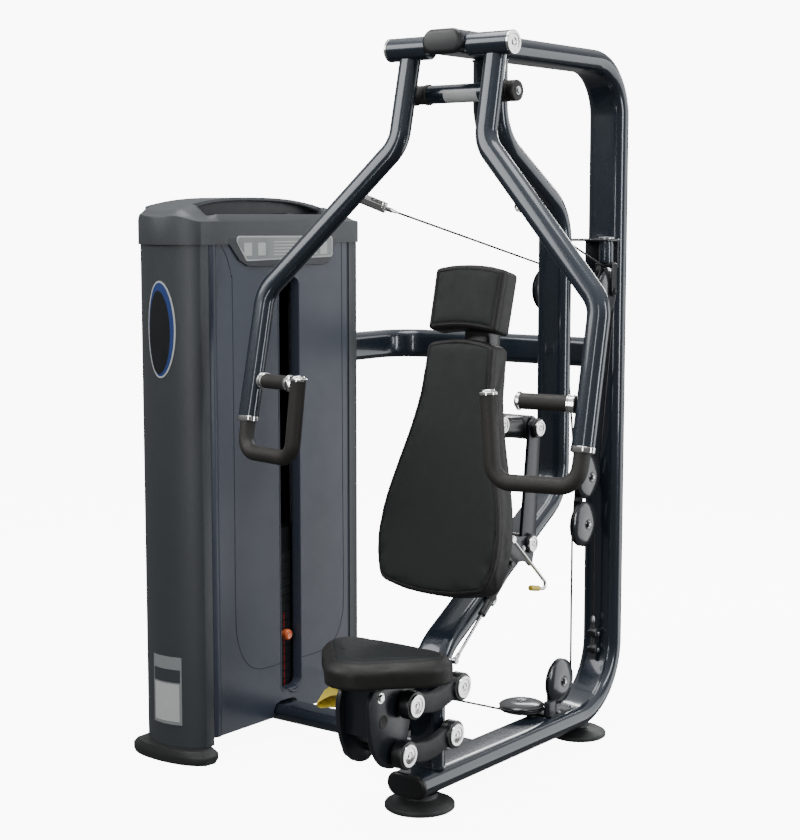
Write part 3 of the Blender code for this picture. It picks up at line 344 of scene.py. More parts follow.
PAINT = (material("slate_gloss", (0.019, 0.028, 0.040), 0.24, metallic=0.30, coat=0.8, coat_rough=0.07,
                  spread=0.08, patch=3.0), "slate_paint")
PANEL = (material("panel_navy", (0.038, 0.047, 0.070), 0.38, coat=0.15, coat_rough=0.25,
                  spread=0.06, patch=2.2, grain=0.08, grain_scale=1400), "panel_paint")
PLATE_PAINT = (material("plate_slate", (0.013, 0.016, 0.021), 0.34, metallic=0.1, coat=0.2, coat_rough=0.12,
                        spread=0.10, patch=9.0, grain=0.008, grain_scale=200, wear=0.25), "panel_paint")
SHROUD = (material("shroud_grey", (0.041, 0.047, 0.052), 0.42, coat=0.08, coat_rough=0.3,
                   spread=0.05, patch=2.0, grain=0.14, grain_scale=1600), "shroud_plastic")
BLACK = (material("black_satin", (0.008, 0.009, 0.010), 0.34, metallic=0.1, coat=0.25, coat_rough=0.18,
                  spread=0.15, patch=10.0, grain=0.03, grain_scale=700, wear=0.2), "black_paint")
CASTING = (material("link_casting", (0.026, 0.028, 0.029), 0.50, metallic=0.1, spread=0.12, patch=16.0,
                    grain=0.20, grain_scale=900, wear=0.25), "black_paint")
# Painted shade: a dark matte finish for the thin cords that stand in for the shade inside the panel's moulded
# grooves.
GROOVE_SHADE = (material("groove_painted_shade", (0.014, 0.018, 0.024), 0.75, spread=0.10, patch=12.0, grain=0.1,
                        grain_scale=900), "panel_paint")
RUBBER = (material("grip_rubber", (0.021, 0.0195, 0.0175), 0.58, spread=0.14, patch=14.0,
                   grain=0.30, grain_scale=1100, cells=0.10, cell_scale=900), "rubber")
FOOT = (material("foot_rubber", (0.016, 0.017, 0.017), 0.50, spread=0.12, patch=9.0,
                 grain=0.25, grain_scale=800), "rubber")
CHROME = (material("chrome_bright", (0.92, 0.92, 0.90), 0.12, metallic=1.0, spread=0.04, patch=30.0,
                   grain=0.02, grain_scale=300), "chrome")
STEEL = (material("turned_steel", (0.55, 0.56, 0.57), 0.28, metallic=1.0, spread=0.08, patch=60.0,
                  grain=0.05, grain_scale=900), "chrome")
SLIDE = (material("slide_steel", (0.46, 0.47, 0.48), 0.40, metallic=0.3, spread=0.08, patch=40.0,
                  grain=0.05, grain_scale=900), "chrome")
IRON = (material("iron_plates", (0.013, 0.014, 0.016), 0.46, metallic=0.2, spread=0.2, patch=25.0,
                 grain=0.35, grain_scale=500, wear=0.3), "cast_iron")
VINYL = (material("vinyl_face", (0.0085, 0.0110, 0.0108), 0.56, spread=0.05, patch=5.0, grain=0.08,
                  grain_scale=700, cells=0.16, cell_scale=620, ior=1.4), "vinyl")
BORDER = (material("vinyl_border", (0.0135, 0.0130, 0.0120), 0.50, spread=0.06, patch=6.0, grain=0.10,
                   grain_scale=700, cells=0.18, cell_scale=620, ior=1.42), "vinyl")
THREAD = (material("seam_thread", (0.006, 0.006, 0.006), 0.6, spread=0.2, patch=90.0, grain=0.4,
                   grain_scale=2500), "vinyl")
YELLOW = (material("yellow_soft", (0.72, 0.56, 0.06), 0.42, coat=0.15, coat_rough=0.2, spread=0.08,
                   patch=30.0, grain=0.12, grain_scale=900), "yellow_plastic")
ORANGE = (material("orange_knob", (0.90, 0.17, 0.045), 0.30, coat=0.5, spread=0.05, patch=40.0,
                   grain=0.05, grain_scale=800), "orange_plastic")
COVER = (material("pulley_black", (0.024, 0.027, 0.031), 0.22, coat=0.6, coat_rough=0.08, spread=0.12,
                  patch=12.0, grain=0.01, grain_scale=200), "pulley_plastic")
CORD = (material("cable_black", (0.008, 0.008, 0.009), 0.36, coat=0.3, spread=0.2, patch=60.0,
                 cells=0.3, cell_scale=1300), "cable_jacket")
LABEL = (material("placard_grey", (0.24, 0.26, 0.26), 0.40, coat=0.3, spread=0.03, patch=12.0,
                  grain=0.05, grain_scale=900), "shroud_plastic")
LABEL_LIGHT = (material("placard_light", (0.50, 0.52, 0.51), 0.42, spread=0.03, patch=20.0,
                        grain=0.05, grain_scale=900), "shroud_plastic")
BLUE = (material("badge_blue", (0.022, 0.050, 0.19), 0.35, coat=0.4, spread=0.06, patch=20.0,
                 grain=0.03, grain_scale=600), "shroud_plastic")
RED = (material("red_strip", (0.35, 0.010, 0.012), 0.35, spread=0.1, patch=40.0, grain=0.1,
                grain_scale=900), "orange_plastic")


# Pieces -------------------------------------------------------------------------------------------


def soften(form, width, segments=2, angle=35.0):
    """Break the hard edges of a form."""
    bmesh.ops.recalc_face_normals(form, faces=form.faces)
    limit = math.radians(angle)
    hard = [edge for edge in form.edges if edge.is_manifold and edge.calc_face_angle(0.0) > limit]
    bmesh.ops.bevel(form, geom=hard, offset=width, segments=segments, profile=0.5, affect="EDGES",
                    clamp_overlap=True)
    return form


def mesh_object(name, forms, finish, smooth=35.0):
    whole = bmesh.new()
    for form in forms if isinstance(forms, list) else [forms]:
        bmesh.ops.recalc_face_normals(form, faces=form.faces)
        part = bpy.data.meshes.new("part")
        form.to_mesh(part)
        form.free()
        whole.from_mesh(part)
        bpy.data.meshes.remove(part)
    bmesh.ops.translate(whole, verts=whole.verts, vec=(X0, Y0, 0))
    mesh = bpy.data.meshes.new(name)
    whole.to_mesh(mesh)
    whole.free()
    item = bpy.data.objects.new(name, mesh)
    bpy.context.scene.collection.objects.link(item)
    mesh.materials.append(finish[0])
    mesh.shade_smooth()
    mesh.set_sharp_from_angle(angle=math.radians(smooth))
    return item


def show(name, forms, finish, body, *nodes, smooth=35.0):
    """One rigid visible piece that moves with a body and may stand for CAD nodes."""
    item = mesh_object(name, forms, finish, smooth)
    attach(item, body)
    if nodes:
        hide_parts(*nodes)
    return item


def dress(node, finish):
    """Give a CAD node that stays visible its finish."""
    item = frame["nodes"][node]
    item.data.materials.clear()
    item.data.materials.append(finish[0])


def hex_bolt(centre, axis, radius=0.008, depth=0.005, washer=0.0012):
    """A hexagon head with a washer under it, standing on its centre point."""
    axis = Vector(axis).normalized()
    disc = [(0, 0), (radius * 1.35, 0), (radius * 1.4, 0.0004), (radius * 1.4, washer), (0, washer)]
    head = [(0, washer), (radius, washer), (radius, depth * 0.8), (radius * 0.88, depth), (0, depth)]
    return [turned(disc, centre, axis, 28), turned(head, centre, axis, 6)]


def both_sides(outline, low, high, edge):
    """A plate on each side of the column, between two distances from it."""
    return [soften(plate(outline, "X", *span), edge, 2, 50) for span in ((low, high), (-high, -low))]


def bolted_caps(spots, reach, radius, depth, sink, bolt_radius, bolt_depth):
    """Cover discs on both ends of the pins at some (y, z) spots, each with a bolt in its middle."""
    forms = []
    for y, z in spots:
        for sign in (-1, 1):
            out = (sign, 0, 0)
            forms.append(cap_disc((sign * reach, y, z), out, radius, depth))
            forms += hex_bolt((sign * (reach + sink), y, z), out, bolt_radius, bolt_depth)
    return forms


def cap_disc(centre, axis, radius, depth=0.006):
    """A turned cover disc with a raised rim and a dimple, on the outer side of its centre point."""
    rim = radius * 0.72
    profile = [
        (0, 0), (radius - 0.001, 0), (radius, 0.0012), (radius, depth - 0.0015), (radius - 0.0018, depth),
        (rim, depth), (rim - 0.0014, depth - 0.0016), (radius * 0.36, depth - 0.0010),
        (radius * 0.32, depth - 0.0042), (0, depth - 0.0042),
    ]
    return turned(profile, centre, axis, 48)


# Main frame ---------------------------------------------------------------------------------------

TUBE = (0.120, 0.060)
rail_low, _ = node_box("base_rail")
beam_low, beam_high = node_box("top_beam")
RAIL_Z = rail_low.z + TUBE[1] / 2
BEAM_Z = beam_high.z - TUBE[1] / 2
PIVOT = pivot("left_arm_swing")
PIVOT.x = 0
NOSE = (  # (how far out, inset) along the domed end caps
    (0.0004, -0.0008), (0.0015, -0.0016), (0.0080, -0.0016), (0.0110, 0.0004), (0.0128, 0.0042),
    (0.0134, 0.0100),
)
loop = [(0, rail_low.y, RAIL_Z), (0, 0, RAIL_Z), (0, 0, BEAM_Z), (0, beam_low.y, BEAM_Z)]
show("main_loop", sweep(rounded(loop, (0.200, 0.150), 26), stadium(*TUBE, 16), (1, 0, 0)), PAINT, "frame",
     "base_rail", "rear_column", "top_beam")
for name, y, z in (("rail_end_cap", rail_low.y, RAIL_Z), ("beam_end_cap", beam_low.y, BEAM_Z)):
    rings = []
    for out, inset in NOSE:
        section = stadium(TUBE[0] - 2 * inset, TUBE[1] - 2 * inset, 16)
        rings.append([(a, y - out, z + b) for a, b in section])
    show(name.replace("end", "nose"), loft(rings), BLACK, "frame", name, smooth=50)

# The inner column, with a weld bead at the rail and at the beam.
KNEES = ((-0.617, 1.743), (-0.290, 1.539), (-0.290, 0.753), (-0.890, 0.389))
INNER_TUBE = (0.100, 0.050)
BEAD = ((0.98, -0.003), (1.035, -0.0025), (1.045, 0.0), (1.035, 0.0025), (0.98, 0.003))  # (scale, height)
END_GAP = TUBE[1] / 2 + 0.001
BEAD_GAP = END_GAP + 0.0015
route = [(0, KNEES[0][0], BEAM_Z - END_GAP)] + [(0, *knee) for knee in KNEES]
route.append((0, KNEES[-1][0], RAIL_Z + END_GAP))
BACK_PIN = pivot("back_swing")
BACK_GUIDE = pivot("back_guide_swing")
SEAT_UPPER = pivot("seat_swing")
SEAT_LOWER = pivot("seat_guide_swing")
SPRING_FOOT = pivot("spring_swing")
tube = [sweep(rounded(route, 0.150, 18), stadium(*INNER_TUBE, 14), (1, 0, 0))]
for end_y, end_z in ((KNEES[0][0], BEAM_Z - BEAD_GAP), (KNEES[-1][0], RAIL_Z + BEAD_GAP)):
    ring = stadium(INNER_TUBE[0] + 0.0020, INNER_TUBE[1] + 0.0020, 14)
    tube.append(loft([[(a * size, end_y + b * size, end_z + rise) for a, b in ring] for size, rise in BEAD]))
show("inner_tube", tube, PAINT, "frame", "inner_column", smooth=40)
show("back_barrel", cross_rod(BACK_PIN.yz, -0.0535, 0.0535, 0.0245, 0.0015, 40), BLACK, "frame")
show("spring_stub", cross_rod(SPRING_FOOT.yz, 0.045, 0.0745, 0.0060), STEEL, "frame")

UPPER_BAR_Z, LOWER_BAR_Y = 1.127, -0.645
corners = [(-0.030, 0, UPPER_BAR_Z), (-0.760, 0, UPPER_BAR_Z), (-0.760, -0.300, UPPER_BAR_Z)]
form = sweep(rounded(corners, 0.11, 20), stadium(0.088, 0.044, 14), (0, 0, 1))
show("side_tube_upper", form, PAINT, "frame", "upper_crossbar")
route = [(-0.030, LOWER_BAR_Y, RAIL_Z), (-0.7496, LOWER_BAR_Y, RAIL_Z)]
show("side_tube_lower", sweep(route, stadium(0.100, 0.048, 14), (0, 1, 0)), PAINT, "frame", "lower_crossbar")

for name, node, neck in (("foot_disc_front", "front_foot", 0.046), ("foot_disc_rear", "rear_foot", 0.030)):
    low, high = node_box(node)
    radius = (high.x - low.x) / 2
    profile = [
        (0, 0), (radius - 0.004, 0), (radius, 0.003), (radius, 0.012), (radius - 0.0015, 0.0145),
        (radius - 0.006, 0.0165), (radius * 0.80, 0.0225), (radius * 0.74, 0.0235), (neck + 0.010, 0.0265),
        (neck + 0.002, 0.0300), (neck, 0.034), (neck, high.z), (0, high.z),
    ]
    middle = (low + high) / 2
    show(name, turned(profile, (middle.x, middle.y, 0), (0, 0, 1), 64), FOOT, "frame", node)

# Stop bar with its bumpers: a ribbed one on the right, a smooth one on the left.
stop_low, stop_high = node_box("stop_bumper_right")
STOP = (stop_low + stop_high) / 2
STOP_REACH, STOP_RADIUS, BUMPER, RIBS = 0.108, 0.0240, 0.0270, 6
lug = block((-0.030, STOP.y + 0.010, STOP.z - 0.016), (0.030, -0.6424, STOP.z + 0.016))
bar = cross_rod(STOP.yz, -STOP_REACH, STOP_REACH, STOP_RADIUS, 0.001, 40)
show("stop_tube", [bar, soften(lug, 0.003)], PAINT, "frame", "stop_bar")
ribs = [(0, 0), (BUMPER - 0.0008, 0), (BUMPER, 0.001)]
for step in range(RIBS):
    start = 0.004 + step * 0.0078
    valley = BUMPER - 0.0016
    ribs += [(BUMPER, start), (valley, start + 0.0008), (valley, start + 0.0030), (BUMPER, start + 0.0038)]
ribs += [(BUMPER, 0.0520), (BUMPER - 0.0012, 0.0548), (BUMPER - 0.0040, 0.0560), (0, 0.0560)]
collar = [
    (0, 0), (BUMPER - 0.002, 0), (BUMPER, 0.002), (BUMPER, 0.010), (BUMPER - 0.002, 0.013),
    (BUMPER - 0.0024, 0.040), (BUMPER, 0.044), (BUMPER, 0.053), (BUMPER - 0.002, 0.056), (0, 0.056),
]
for side, sign in SIDES:
    start = (sign * (STOP_REACH + 0.0004), STOP.y, STOP.z)
    bumper = turned(ribs if sign > 0 else collar, start, (sign, 0, 0), 48)
    show(f"stop_rubber_{side}", bumper, RUBBER, "frame", f"stop_bumper_{side}")
show("stop_bolt", hex_bolt((0.1640, STOP.y, STOP.z), (1, 0, 0), 0.0075, 0.0045), STEEL, "frame")
turns = [math.radians(-75 + 10 * step) for step in range(10)]
label = []
for radius, order in ((STOP_RADIUS + 0.0006, turns), (STOP_RADIUS - 0.0004, turns[::-1])):
    label += [(STOP.y - radius * math.cos(turn), STOP.z + radius * math.sin(turn)) for turn in order]
show("stop_plate", plate(label, "X", -0.052, 0.052), LABEL_LIGHT, "frame")

# Press arms ---------------------------------------------------------------------------------------

LEAN = math.radians(12.3)
ARM_Y = PIVOT.y + 0.012


def arm_point(x, down, sign):
    return Vector((sign * x, ARM_Y - down * math.sin(LEAN), PIVOT.z - down * math.cos(LEAN)))


def ring_collar(centre, axis, radius, long):
    """A chrome collar with a bead at each end."""
    half = long / 2
    barrel, bead = radius + 0.0008, radius + 0.0022
    end = [
        (radius - 0.004, half), (barrel, half), (bead, half - 0.0015), (bead, half - 0.004),
        (barrel, half - 0.0052),
    ]
    return turned([(a, -b) for a, b in end] + end[::-1], centre, axis, 44)


def end_knob(centre, axis, radius):
    """The stepped chrome end of a grip."""
    rim = radius + 0.0028
    profile = [
        (0, -0.006), (radius + 0.0004, -0.006), (rim, -0.0045), (rim, 0.0010), (radius + 0.0010, 0.0026),
        (radius - 0.003, 0.0034), (radius - 0.004, 0.0062), (radius - 0.0062, 0.0080), (0.005, 0.0084),
        (0.0042, 0.0064), (0, 0.0064),
    ]
    return turned(profile, centre, axis, 44)


ARM_TUBE = (0.058, 0.046)
ARM_KNEES = ((0.132, 0.0), (0.135, 0.250), (0.520, 0.645), (0.522, 0.985))  # (out, down along the lean)
GRIP_RADIUS, PEG_RADIUS = 0.0205, 0.0195
CLEVIS_ROOT, CLEVIS_TIP = (0.262, -0.858, 1.582), (0.2095, -0.7935, 1.5485)
CLEVIS_WIDE = Vector((0, 0.75, -0.66))
ARM_RING = (  # (along the arm, width, thickness)
    (-0.0070, 0.0585, 0.0465), (-0.0060, 0.0608, 0.0488), (0.0050, 0.0608, 0.0488),
    (0.0062, 0.0590, 0.0474),
    (0.0080, 0.0500, 0.0450), (0.0088, 0.0430, 0.0425),
)


def on_side(spot, sign):
    return Vector((sign * spot[0], *spot[1:]))


def clevis(sign):
    """The fork that takes the cable: two cheeks, a root between them and a bolted pin."""
    root, tip = on_side(CLEVIS_ROOT, sign), on_side(CLEVIS_TIP, sign)
    along = (tip - root).normalized()
    across = CLEVIS_WIDE.cross(along).normalized()
    forms = []
    for edge in (-1, 1):
        shift = across * edge * 0.0075
        cheek = sweep([root + shift, tip + shift], stadium(0.024, 0.0040, 5), CLEVIS_WIDE)
        forms.append(soften(cheek, 0.0006, 1))
    forms.append(soften(sweep([root, root.lerp(tip, 0.45)], stadium(0.026, 0.018, 6), CLEVIS_WIDE), 0.001, 1))
    pin = root.lerp(tip, 0.90)
    forms.append(rod(pin - across * 0.0135, pin + across * 0.0135, 0.0055))
    for edge in (1, -1):
        forms += hex_bolt(pin + across * edge * 0.0095, across * edge, 0.0062, 0.0045)
    return forms


for side, sign in SIDES:
    body = f"{side}_arm"
    route = rounded([arm_point(*spot, sign) for spot in ARM_KNEES], 0.090, 22)
    sleeve = cross_rod(PIVOT.yz, sign * 0.0625, sign * 0.1850, 0.0300, 0.0015, 48)
    forms = [sweep(route, stadium(*ARM_TUBE, 16), (1, 0, 0)), sleeve]
    show(f"arm_tube_{side}", forms, PAINT, body, f"arm_{side}")
    show(f"cable_clevis_{side}", clevis(sign), CHROME, body)
    bend = arm_point(0.519, 1.078, sign)
    corners = [arm_point(0.522, 0.986, sign), bend]
    corners += [on_side(spot, sign) for spot in ((0.315, -1.060, 0.902), (0.295, -1.054, 1.112))]
    grip = rounded(corners, 0.048, 16)
    show(f"grip_{side}", sweep(grip, circle(GRIP_RADIUS, 32), (1, 0, 0)), RUBBER, body, f"handle_{side}")
    show(f"grip_end_{side}", end_knob(grip[-1], grip[-1] - grip[-2], GRIP_RADIUS), CHROME, body)
    start = arm_point(0.522, 0.990, sign)
    down = (bend - start).normalized()
    cross = Vector((1, 0, 0))
    thin = down.cross(cross).normalized()
    rings = [[start + down * out + cross * a + thin * b for a, b in stadium(wide, thick, 14)]
             for out, wide, thick in ARM_RING]
    show(f"arm_ring_{side}", loft(rings), CHROME, body)
    root = arm_point(ARM_KNEES[-1][0] - ARM_TUBE[0] / 2 - 0.003, 0.885, sign)
    tip = on_side((0.355, -1.015, 1.094), sign)
    show(f"peg_grip_{side}", rod(root, tip, PEG_RADIUS, 0.001, 32), RUBBER, body, f"peg_{side}")
    run = (tip - root).normalized()
    forms = [end_knob(tip, run, PEG_RADIUS), ring_collar(root + run * 0.012, run, PEG_RADIUS + 0.0005, 0.020)]
    show(f"peg_ends_{side}", forms, CHROME, body)

SHAFT_REACH = 0.1854
big_cap = [
    (0, 0), (0.0290, 0), (0.0305, 0.0012), (0.0305, 0.0062), (0.0290, 0.0078), (0.0215, 0.0082),
    (0.0200, 0.0066),
    (0.0120, 0.0066), (0.0112, 0.0040), (0, 0.0040),
]
forms = [cross_rod(PIVOT.yz, -SHAFT_REACH, SHAFT_REACH, 0.0158, 0.001)]
forms += [turned(big_cap, (sign * SHAFT_REACH, *PIVOT.yz), (sign, 0, 0), 56) for sign in (1, -1)]
forms += hex_bolt((SHAFT_REACH + 0.0030, *PIVOT.yz), (1, 0, 0), 0.0075, 0.0040)
show("pivot_pin", forms, CHROME, "frame", "pivot_shaft")

# Pulleys ------------------------------------------------------------------------------------------

GROOVE, FLANGE, CABLE, SLACK = 0.058, 0.066, 0.0030, 0.0015
REACH = GROOVE + CABLE + SLACK


def wheel(name, centre, axis, body, node, groove=GROOVE, flange=FLANGE):
    """A grooved wheel with a domed cover disc on each side."""
    half = 0.018
    profile = [
        (0.0085, -half), (0.0130, -half), (0.0150, -half + 0.0015), (flange * 0.34, -half + 0.0004),
        (flange * 0.60, -half + 0.0022), (flange * 0.82, -half + 0.0056), (flange * 0.93, -half + 0.0086),
        (flange - 0.0012, -0.0068), (flange, -0.0058), (flange - 0.0010, -0.0046),
        (groove + 0.0020, -0.0034),
        (groove + 0.0004, -0.0020), (groove, 0.0),
    ]
    profile += [(radius, -height) for radius, height in profile[-2::-1]]
    show(name, turned(profile, centre, axis, 72), COVER, body, node, smooth=28)


def on_axis(name):
    """A pivot of the wheels that hang in the loop's plane."""
    place = pivot(name)
    place.x = 0
    return place


BLOCK_UPPER = on_axis("block_upper_spin")
BLOCK_LOWER = on_axis("block_lower_spin")
TURN = on_axis("turn_wheel_spin")
FLAT = pivot("flat_wheel_spin")
TOWER_TOP = on_axis("tower_wheel_spin")
TOWER_TOP.x = pivot("tower_wheel_spin").x
TOWER_GROOVE = 0.100
wheel("guide_wheel_upper", BLOCK_UPPER, (1, 0, 0), "block_upper_wheel", "block_pulley_upper")
wheel("guide_wheel_lower", BLOCK_LOWER, (1, 0, 0), "block_lower_wheel", "block_pulley_lower")
wheel("guide_wheel_turn", TURN, (1, 0, 0), "turn_wheel", "turn_pulley")
wheel("guide_wheel_flat", FLAT, (0, 0, 1), "flat_wheel", "flat_pulley")
wheel("guide_wheel_tower", TOWER_TOP, (1, 0, 0), "tower_wheel", "tower_pulley", TOWER_GROOVE, 0.108)

# The bracket behind the column's front, and a swivelling wheel on each side of it.
SWIVEL = pivot("right_swivel_spin")
YAW = math.radians(10.0)
BRACKET_Z, BRACKET_THICK = 1.458, 0.006
half_plan = [(0.060, -0.0305), (0.116, -0.140), (0.116, -0.196)]
corners = [(-a, b, 0) for a, b in half_plan] + [(a, b, 0) for a, b in half_plan[::-1]]
plan = [(p.x, p.y) for p in rounded(corners, 0.018, 8)]
forms = [soften(plate(plan, "Z", BRACKET_Z, BRACKET_Z + BRACKET_THICK), 0.0008, 1, 60)]
forms.append(soften(block((-0.055, -0.0365, 1.380), (0.055, -0.0305, BRACKET_Z + 0.004)), 0.0015))
show("swivel_plate", forms, PLATE_PAINT, "frame", "swivel_bracket")
housing = [
    (0, 0), (0.0180, 0), (0.0205, 0.002), (0.0205, 0.052), (0.0190, 0.0555), (0.0190, 0.060),
    (0, 0.060),
]
top_ring = [
    (0, 0), (0.0215, 0), (0.0225, 0.001), (0.0225, 0.005), (0.0205, 0.0065), (0.012, 0.0068),
    (0.011, 0.0050),
    (0, 0.0050),
]
FORK_IN, FORK_OUT, FORK_TOP = 0.0215, 0.0265, 0.066
for side, sign in SIDES:
    centre = on_side(SWIVEL, sign)
    form = turned(housing, (centre.x, centre.y, 1.397), (0, 0, 1), 44)
    show(f"swivel_housing_{side}", form, PAINT, "frame")
    form = turned(top_ring, (centre.x, centre.y, BRACKET_Z + BRACKET_THICK), (0, 0, 1), 44)
    show(f"swivel_ring_{side}", form, STEEL, "frame")
    turn = Matrix.Translation(centre) @ Matrix.Rotation(sign * YAW, 4, "Z")
    forms = [soften(block((-0.0268, -0.018, 0.0725), (0.0268, 0.018, 0.0785)), 0.001, 1)]
    for edge in (-1, 1):
        cheek = link_outline((0, 0), (0, FORK_TOP), 0.0165, 0.0165, 10)
        forms.append(soften(plate(cheek, "X", *sorted((edge * FORK_IN, edge * FORK_OUT))), 0.0008, 1))
        forms += hex_bolt((edge * FORK_OUT, 0, 0), (edge, 0, 0), 0.0085, 0.005)
    forms = [moved(form, turn) for form in forms]
    forms.append(rod((centre.x, centre.y, centre.z + 0.074), (centre.x, centre.y, 1.420), 0.0080))
    show(f"swivel_fork_{side}", forms, BLACK, f"{side}_swivel", f"swivel_yoke_{side}")
    axis = Vector((math.cos(YAW), sign * math.sin(YAW), 0))
    wheel(f"guide_wheel_{side}", centre, axis, f"{side}_swivel_wheel", f"swivel_pulley_{side}")

AXLE = (-0.024, 0.0235, 0.0078)  # from, to, radius
AXLE_BOLT_X = 0.0195
outline = link_outline(BLOCK_UPPER.yz, BLOCK_LOWER.yz, 0.022, 0.022, 16)
forms = [soften(plate(outline, "X", -0.0265, -0.0205), 0.001, 1)]
bolts = []
for centre in (BLOCK_UPPER.yz, BLOCK_LOWER.yz):
    forms.append(cross_rod(centre, *AXLE))
    bolts += hex_bolt((AXLE_BOLT_X, *centre), (1, 0, 0), 0.0070, 0.0042)
    bolts += hex_bolt((-0.0265, *centre), (-1, 0, 0), 0.0085, 0.0050)
show("block_plate", forms, BLACK, "block", "pulley_block")
show("block_bolts", bolts, STEEL, "block")

# The rail's bracket with the turn wheel and the flat wheel.
top = RAIL_Z + TUBE[1] / 2 + 0.0004
BRACKET_X, SHEET = 0.029, 0.0035
forms = [
    soften(block((-BRACKET_X, TURN.y - 0.022, top), (-0.0205, TURN.y + 0.022, 0.205)), 0.0012),
    soften(block((-BRACKET_X, -0.330, top), (BRACKET_X, TURN.y + 0.022, top + SHEET)), 0.0008, 1),
    soften(block((FLAT.x - 0.014, FLAT.y - 0.014, top), (-0.020, -0.290, top + SHEET)), 0.0008, 1),
    cross_rod(TURN.yz, *AXLE),
    rod((FLAT.x, FLAT.y, top + 0.002), (FLAT.x, FLAT.y, FLAT.z + AXLE_BOLT_X), AXLE[2]),
]
show("rail_bracket", forms, BLACK, "frame", "rail_pulley_bracket")
stop_block = soften(block((0.008, -0.340, top + SHEET), (BRACKET_X, -0.303, 0.148)), 0.003)
show("rail_bracket_block", stop_block, PLATE_PAINT, "frame")
bolts = hex_bolt((AXLE_BOLT_X, *TURN.yz), (1, 0, 0), 0.0070, 0.0042)
bolts += hex_bolt((FLAT.x, FLAT.y, FLAT.z + 0.0180), (0, 0, 1), 0.0075, 0.0045)
for y in (-0.275, -0.205):
    bolts += hex_bolt((0.018, y, top + SHEET), (0, 0, 1), 0.0060, 0.0040)
show("rail_bolts", bolts, STEEL, "frame")

# The cable's anchor: a threaded end in two clamps, each with its bolts and a nut.
anchor_low, _ = node_box("cable_anchor")
END = Vector((0, BLOCK_LOWER.y + REACH, 0.330))
THREADS, THREAD_PITCH = 56, 0.0020
thread = [(0, 0)]
for step in range(THREADS):
    thread += [(0.0069, 0.0005 + step * THREAD_PITCH), (0.0075, 0.0015 + step * THREAD_PITCH)]
thread += [(0.0062, 0.1130), (0, 0.1135)]
forms = [turned(thread, (0, END.y, anchor_low.z), (0, 0, 1), 24)]
fittings = []
nut = [(0, 0), (0.0115, 0), (0.0115, 0.007), (0, 0.007)]
CLAMP = (0.014, 0.015)  # half width, height
for z, back in ((0.235, -0.0350), (0.285, -0.0304)):
    forms.append(soften(block((-CLAMP[0], END.y - 0.0095, z), (CLAMP[0], back, z + CLAMP[1])), 0.0018))
    for sign in (-1, 1):
        fittings += hex_bolt((sign * 0.0161, END.y + 0.004, z + CLAMP[1] / 2), (sign, 0, 0), 0.0048, 0.0036)
    fittings.append(turned(nut, (0, END.y, z + CLAMP[1] + 0.0005), (0, 0, 1), 6))
show("anchor_clamps", forms, BLACK, "frame", "cable_anchor")
ferrule = [
    (0, 0), (0.0062, 0), (0.0068, 0.001), (0.0068, 0.014), (0.0050, 0.020), (0.0036, 0.024),
    (0, 0.024),
]
fittings.append(turned(ferrule, (0, END.y, 0.322), (0, 0, 1), 28))
show("anchor_fittings", fittings, STEEL, "frame")

# Cables -------------------------------------------------------------------------------------------
# Each is taut. Runs between a moving body and the frame are made of short straight lengths.

LENGTHS = 5


def cable_form(route):
    wide = Vector(route[1]).cross(Vector(route[0])) + Vector((0.3, 0.2, 0.1))
    return sweep(route, circle(CABLE, 12), wide)


def strand(name, start, end):
    """A straight cable from a body that moves to the frame, cut into short even lengths."""
    start, end = Vector(start), Vector(end)
    for index in range(LENGTHS):
        t0, t1 = index / LENGTHS, (index + 1) / LENGTHS
        low, high = start.lerp(end, t0), start.lerp(end, t1)
        points = [low.lerp(high, step / 4) for step in range(5)]
        item = mesh_object(f"{name}_{index + 1}", cable_form(points), CORD)
        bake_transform(item)


def arc(centre, out, up, radius, first, last, steps=24):
    points = []
    for step in range(steps + 1):
        turn = first + (last - first) * step / steps
        points.append(Vector(centre) + radius * (Vector(out) * math.cos(turn) + Vector(up) * math.sin(turn)))
    return points


under = arc(BLOCK_UPPER, (0, 1, 0), (0, 0, 1), REACH, 0.0, -math.pi, 36)
show("cable_round_block", cable_form(under), CORD, "block", "arm_cable")
fitting = [
    (0, -0.012), (0.0055, -0.012), (0.0062, -0.010), (0.0062, 0.012), (0.0048, 0.018),
    (0.0036, 0.034), (0, 0.034),
]
for side, sign in SIDES:
    centre = on_side(SWIVEL, sign)
    ahead = Vector((sign * math.sin(YAW), -math.cos(YAW), 0))
    lug = on_side((0.205, -0.790, 1.546), sign) - centre
    forward = lug.dot(ahead)
    tangent = math.atan2(lug.z, forward) + math.acos(REACH / math.hypot(forward, lug.z))
    over = arc(centre, ahead, (0, 0, 1), REACH, tangent, math.pi)
    tail = over[-1] - Vector((0, 0, 0.045))
    show(f"cable_over_{side}", cable_form(over + [tail]), CORD, "frame")
    strand(f"cable_to_{side}_arm", centre + lug, over[0])
    strand(f"cable_to_block_{side}", under[0 if sign > 0 else -1], tail)
    run = (over[0] - centre - lug).normalized()
    show(f"cable_fitting_{side}", turned(fitting, centre + lug, run, 28), CHROME, f"{side}_arm")

